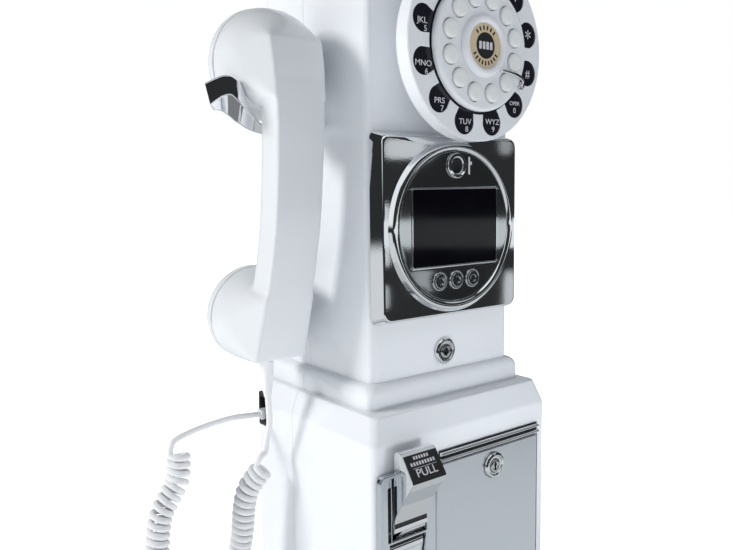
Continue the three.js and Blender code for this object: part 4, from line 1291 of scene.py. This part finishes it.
def reflected_studio(tree):
    """The brightness that a mirror sees in each direction."""

    def maths(operation, *values):
        return add_node(tree, "Math", {"operation": operation, **dict(enumerate(values))}).outputs[0]

    place = add_node(tree, "TexCoord")
    x, y, z = add_node(tree, "SeparateXYZ", {0: place.outputs["Generated"]}).outputs
    azimuth = maths("DEGREES", maths("ARCTAN2", x, maths("MULTIPLY", y, -1)))
    elevation = maths("DEGREES", maths("ARCSINE", z))
    total = None
    for at, height, half_width, half_height, softness, brightness in REFLECTED:
        across = maths("DIVIDE", maths("SUBTRACT", azimuth, at), half_width)
        along = maths("DIVIDE", maths("SUBTRACT", elevation, height), half_height)
        squares = [maths("POWER", maths("ABSOLUTE", v), 4) for v in (across, along)]
        edge = {"Value": maths("ADD", *squares), "From Min": 1 - softness, "From Max": 1 + softness}
        ramp = {**edge, "To Min": brightness, "To Max": 0, "interpolation_type": "SMOOTHERSTEP"}
        shape = add_node(tree, "MapRange", ramp).outputs["Result"]
        total = shape if total is None else maths("MAXIMUM", total, shape)
    return maths("ADD", total, REFLECTED_DARK)


def world():
    """White for the camera, an even sky for light, and a dark studio for reflections."""
    sky = bpy.data.worlds.new("studio")
    sky.use_nodes = True
    tree = sky.node_tree
    tree.nodes.clear()

    def background(colour, strength):
        return add_node(tree, "Background", {"Color": (*colour, 1), "Strength": strength}).outputs[0]

    def either(ray, no, yes):
        return add_node(tree, "MixShader", {0: rays[ray], 1: no, 2: yes}).outputs[0]

    rays = add_node(tree, "LightPath").outputs
    mirrored = background((0.93, 0.98, 1), reflected_studio(tree))
    unseen = either("Is Glossy Ray", background((0.88, 0.94, 1), 0.37), mirrored)
    shown = either("Is Camera Ray", unseen, background((1, 1, 1), 1.0))
    add_node(tree, "OutputWorld", {0: shown})
    bpy.context.scene.world = sky


def lamp(name, at, target, size, power, colour, spread=180):
    light = bpy.data.lights.new(name, "AREA")
    light.spread = math.radians(spread)
    light.size = size
    light.energy = power
    light.color = colour
    obj = new_object(name, light)
    obj.location = at
    obj.visible_glossy = False
    aim = Vector(target) - Vector(at)
    obj.rotation_euler = aim.to_track_quat("-Z", "Y").to_euler()


def floor():
    """A pale floor that mirrors do not see and that runs into the white background."""
    pale = finish("pale_floor", (0.93, 0.93, 0.93), 0.7, mottle=0.01, bump=0.0)
    tree = pale.node_tree
    seen = add_node(tree, "LightPath").outputs["Is Camera Ray"]
    glow = add_node(tree, "MapRange", {"Value": seen, "To Min": 0.6, "To Max": 0.95}).outputs[0]
    surface = tree.nodes["Principled BSDF"]
    set_up(tree, surface, {"Emission Color": (0.95, 0.97, 1, 1), "Emission Strength": glow})
    half, drop = 6, -0.0005
    corners = [(x, y, drop) for x, y in ((-half, -half), (half, -half), (half, half), (-half, half))]
    mesh = bpy.data.meshes.new("floor")
    mesh.from_pydata(corners, [], [(0, 1, 2, 3)])
    ground = new_object("floor", mesh)
    paint(ground, pale)
    ground.visible_glossy = False


# ---- build

bpy.context.scene.view_settings.view_transform = "Standard"
front_cover()
rear_cover()
coin_gauge()
dial_housing()
number_plate()
dial_face()
hub()
label()
legends()
keys()
finger_stop()
face_plate()
display_panel()
cam_lock("upper_lock_body", "upper_lock_plug", "housing", "cabinet_lock")
cam_lock("vault_lock_body", "vault_lock_plug", "vault_door", "vault_lock")
door_rail()
vault_door()
return_bezel()
return_lever()
return_flap()
hook()
handset_shell()
cap("ear_cap_ring", "ear_cap", EAR, 3.2, [(0, 1), (6, 6), (12, 12)])
cap("mouth_cap_ring", "mouth_cap", MOUTH, 2.2, [(0, 1), (5, 6)])
cord()
jack()
hidden_pieces()
camera()
world()
floor()
lamp("key", (-1.8, 0.8, 1.2), (0, 0, 0.28), 0.55, 31, (1, 0.99, 0.98))
lamp("fill", (1.1, -1.1, 1.6), (0, 0, 0.25), 0.6, 3.8, (0.96, 0.98, 1))
lamp("low_fill", (0.1, -0.6, 0.02), (0.01, -0.1, 0.09), 0.2, 0.07, (0.96, 0.97, 1), 32)
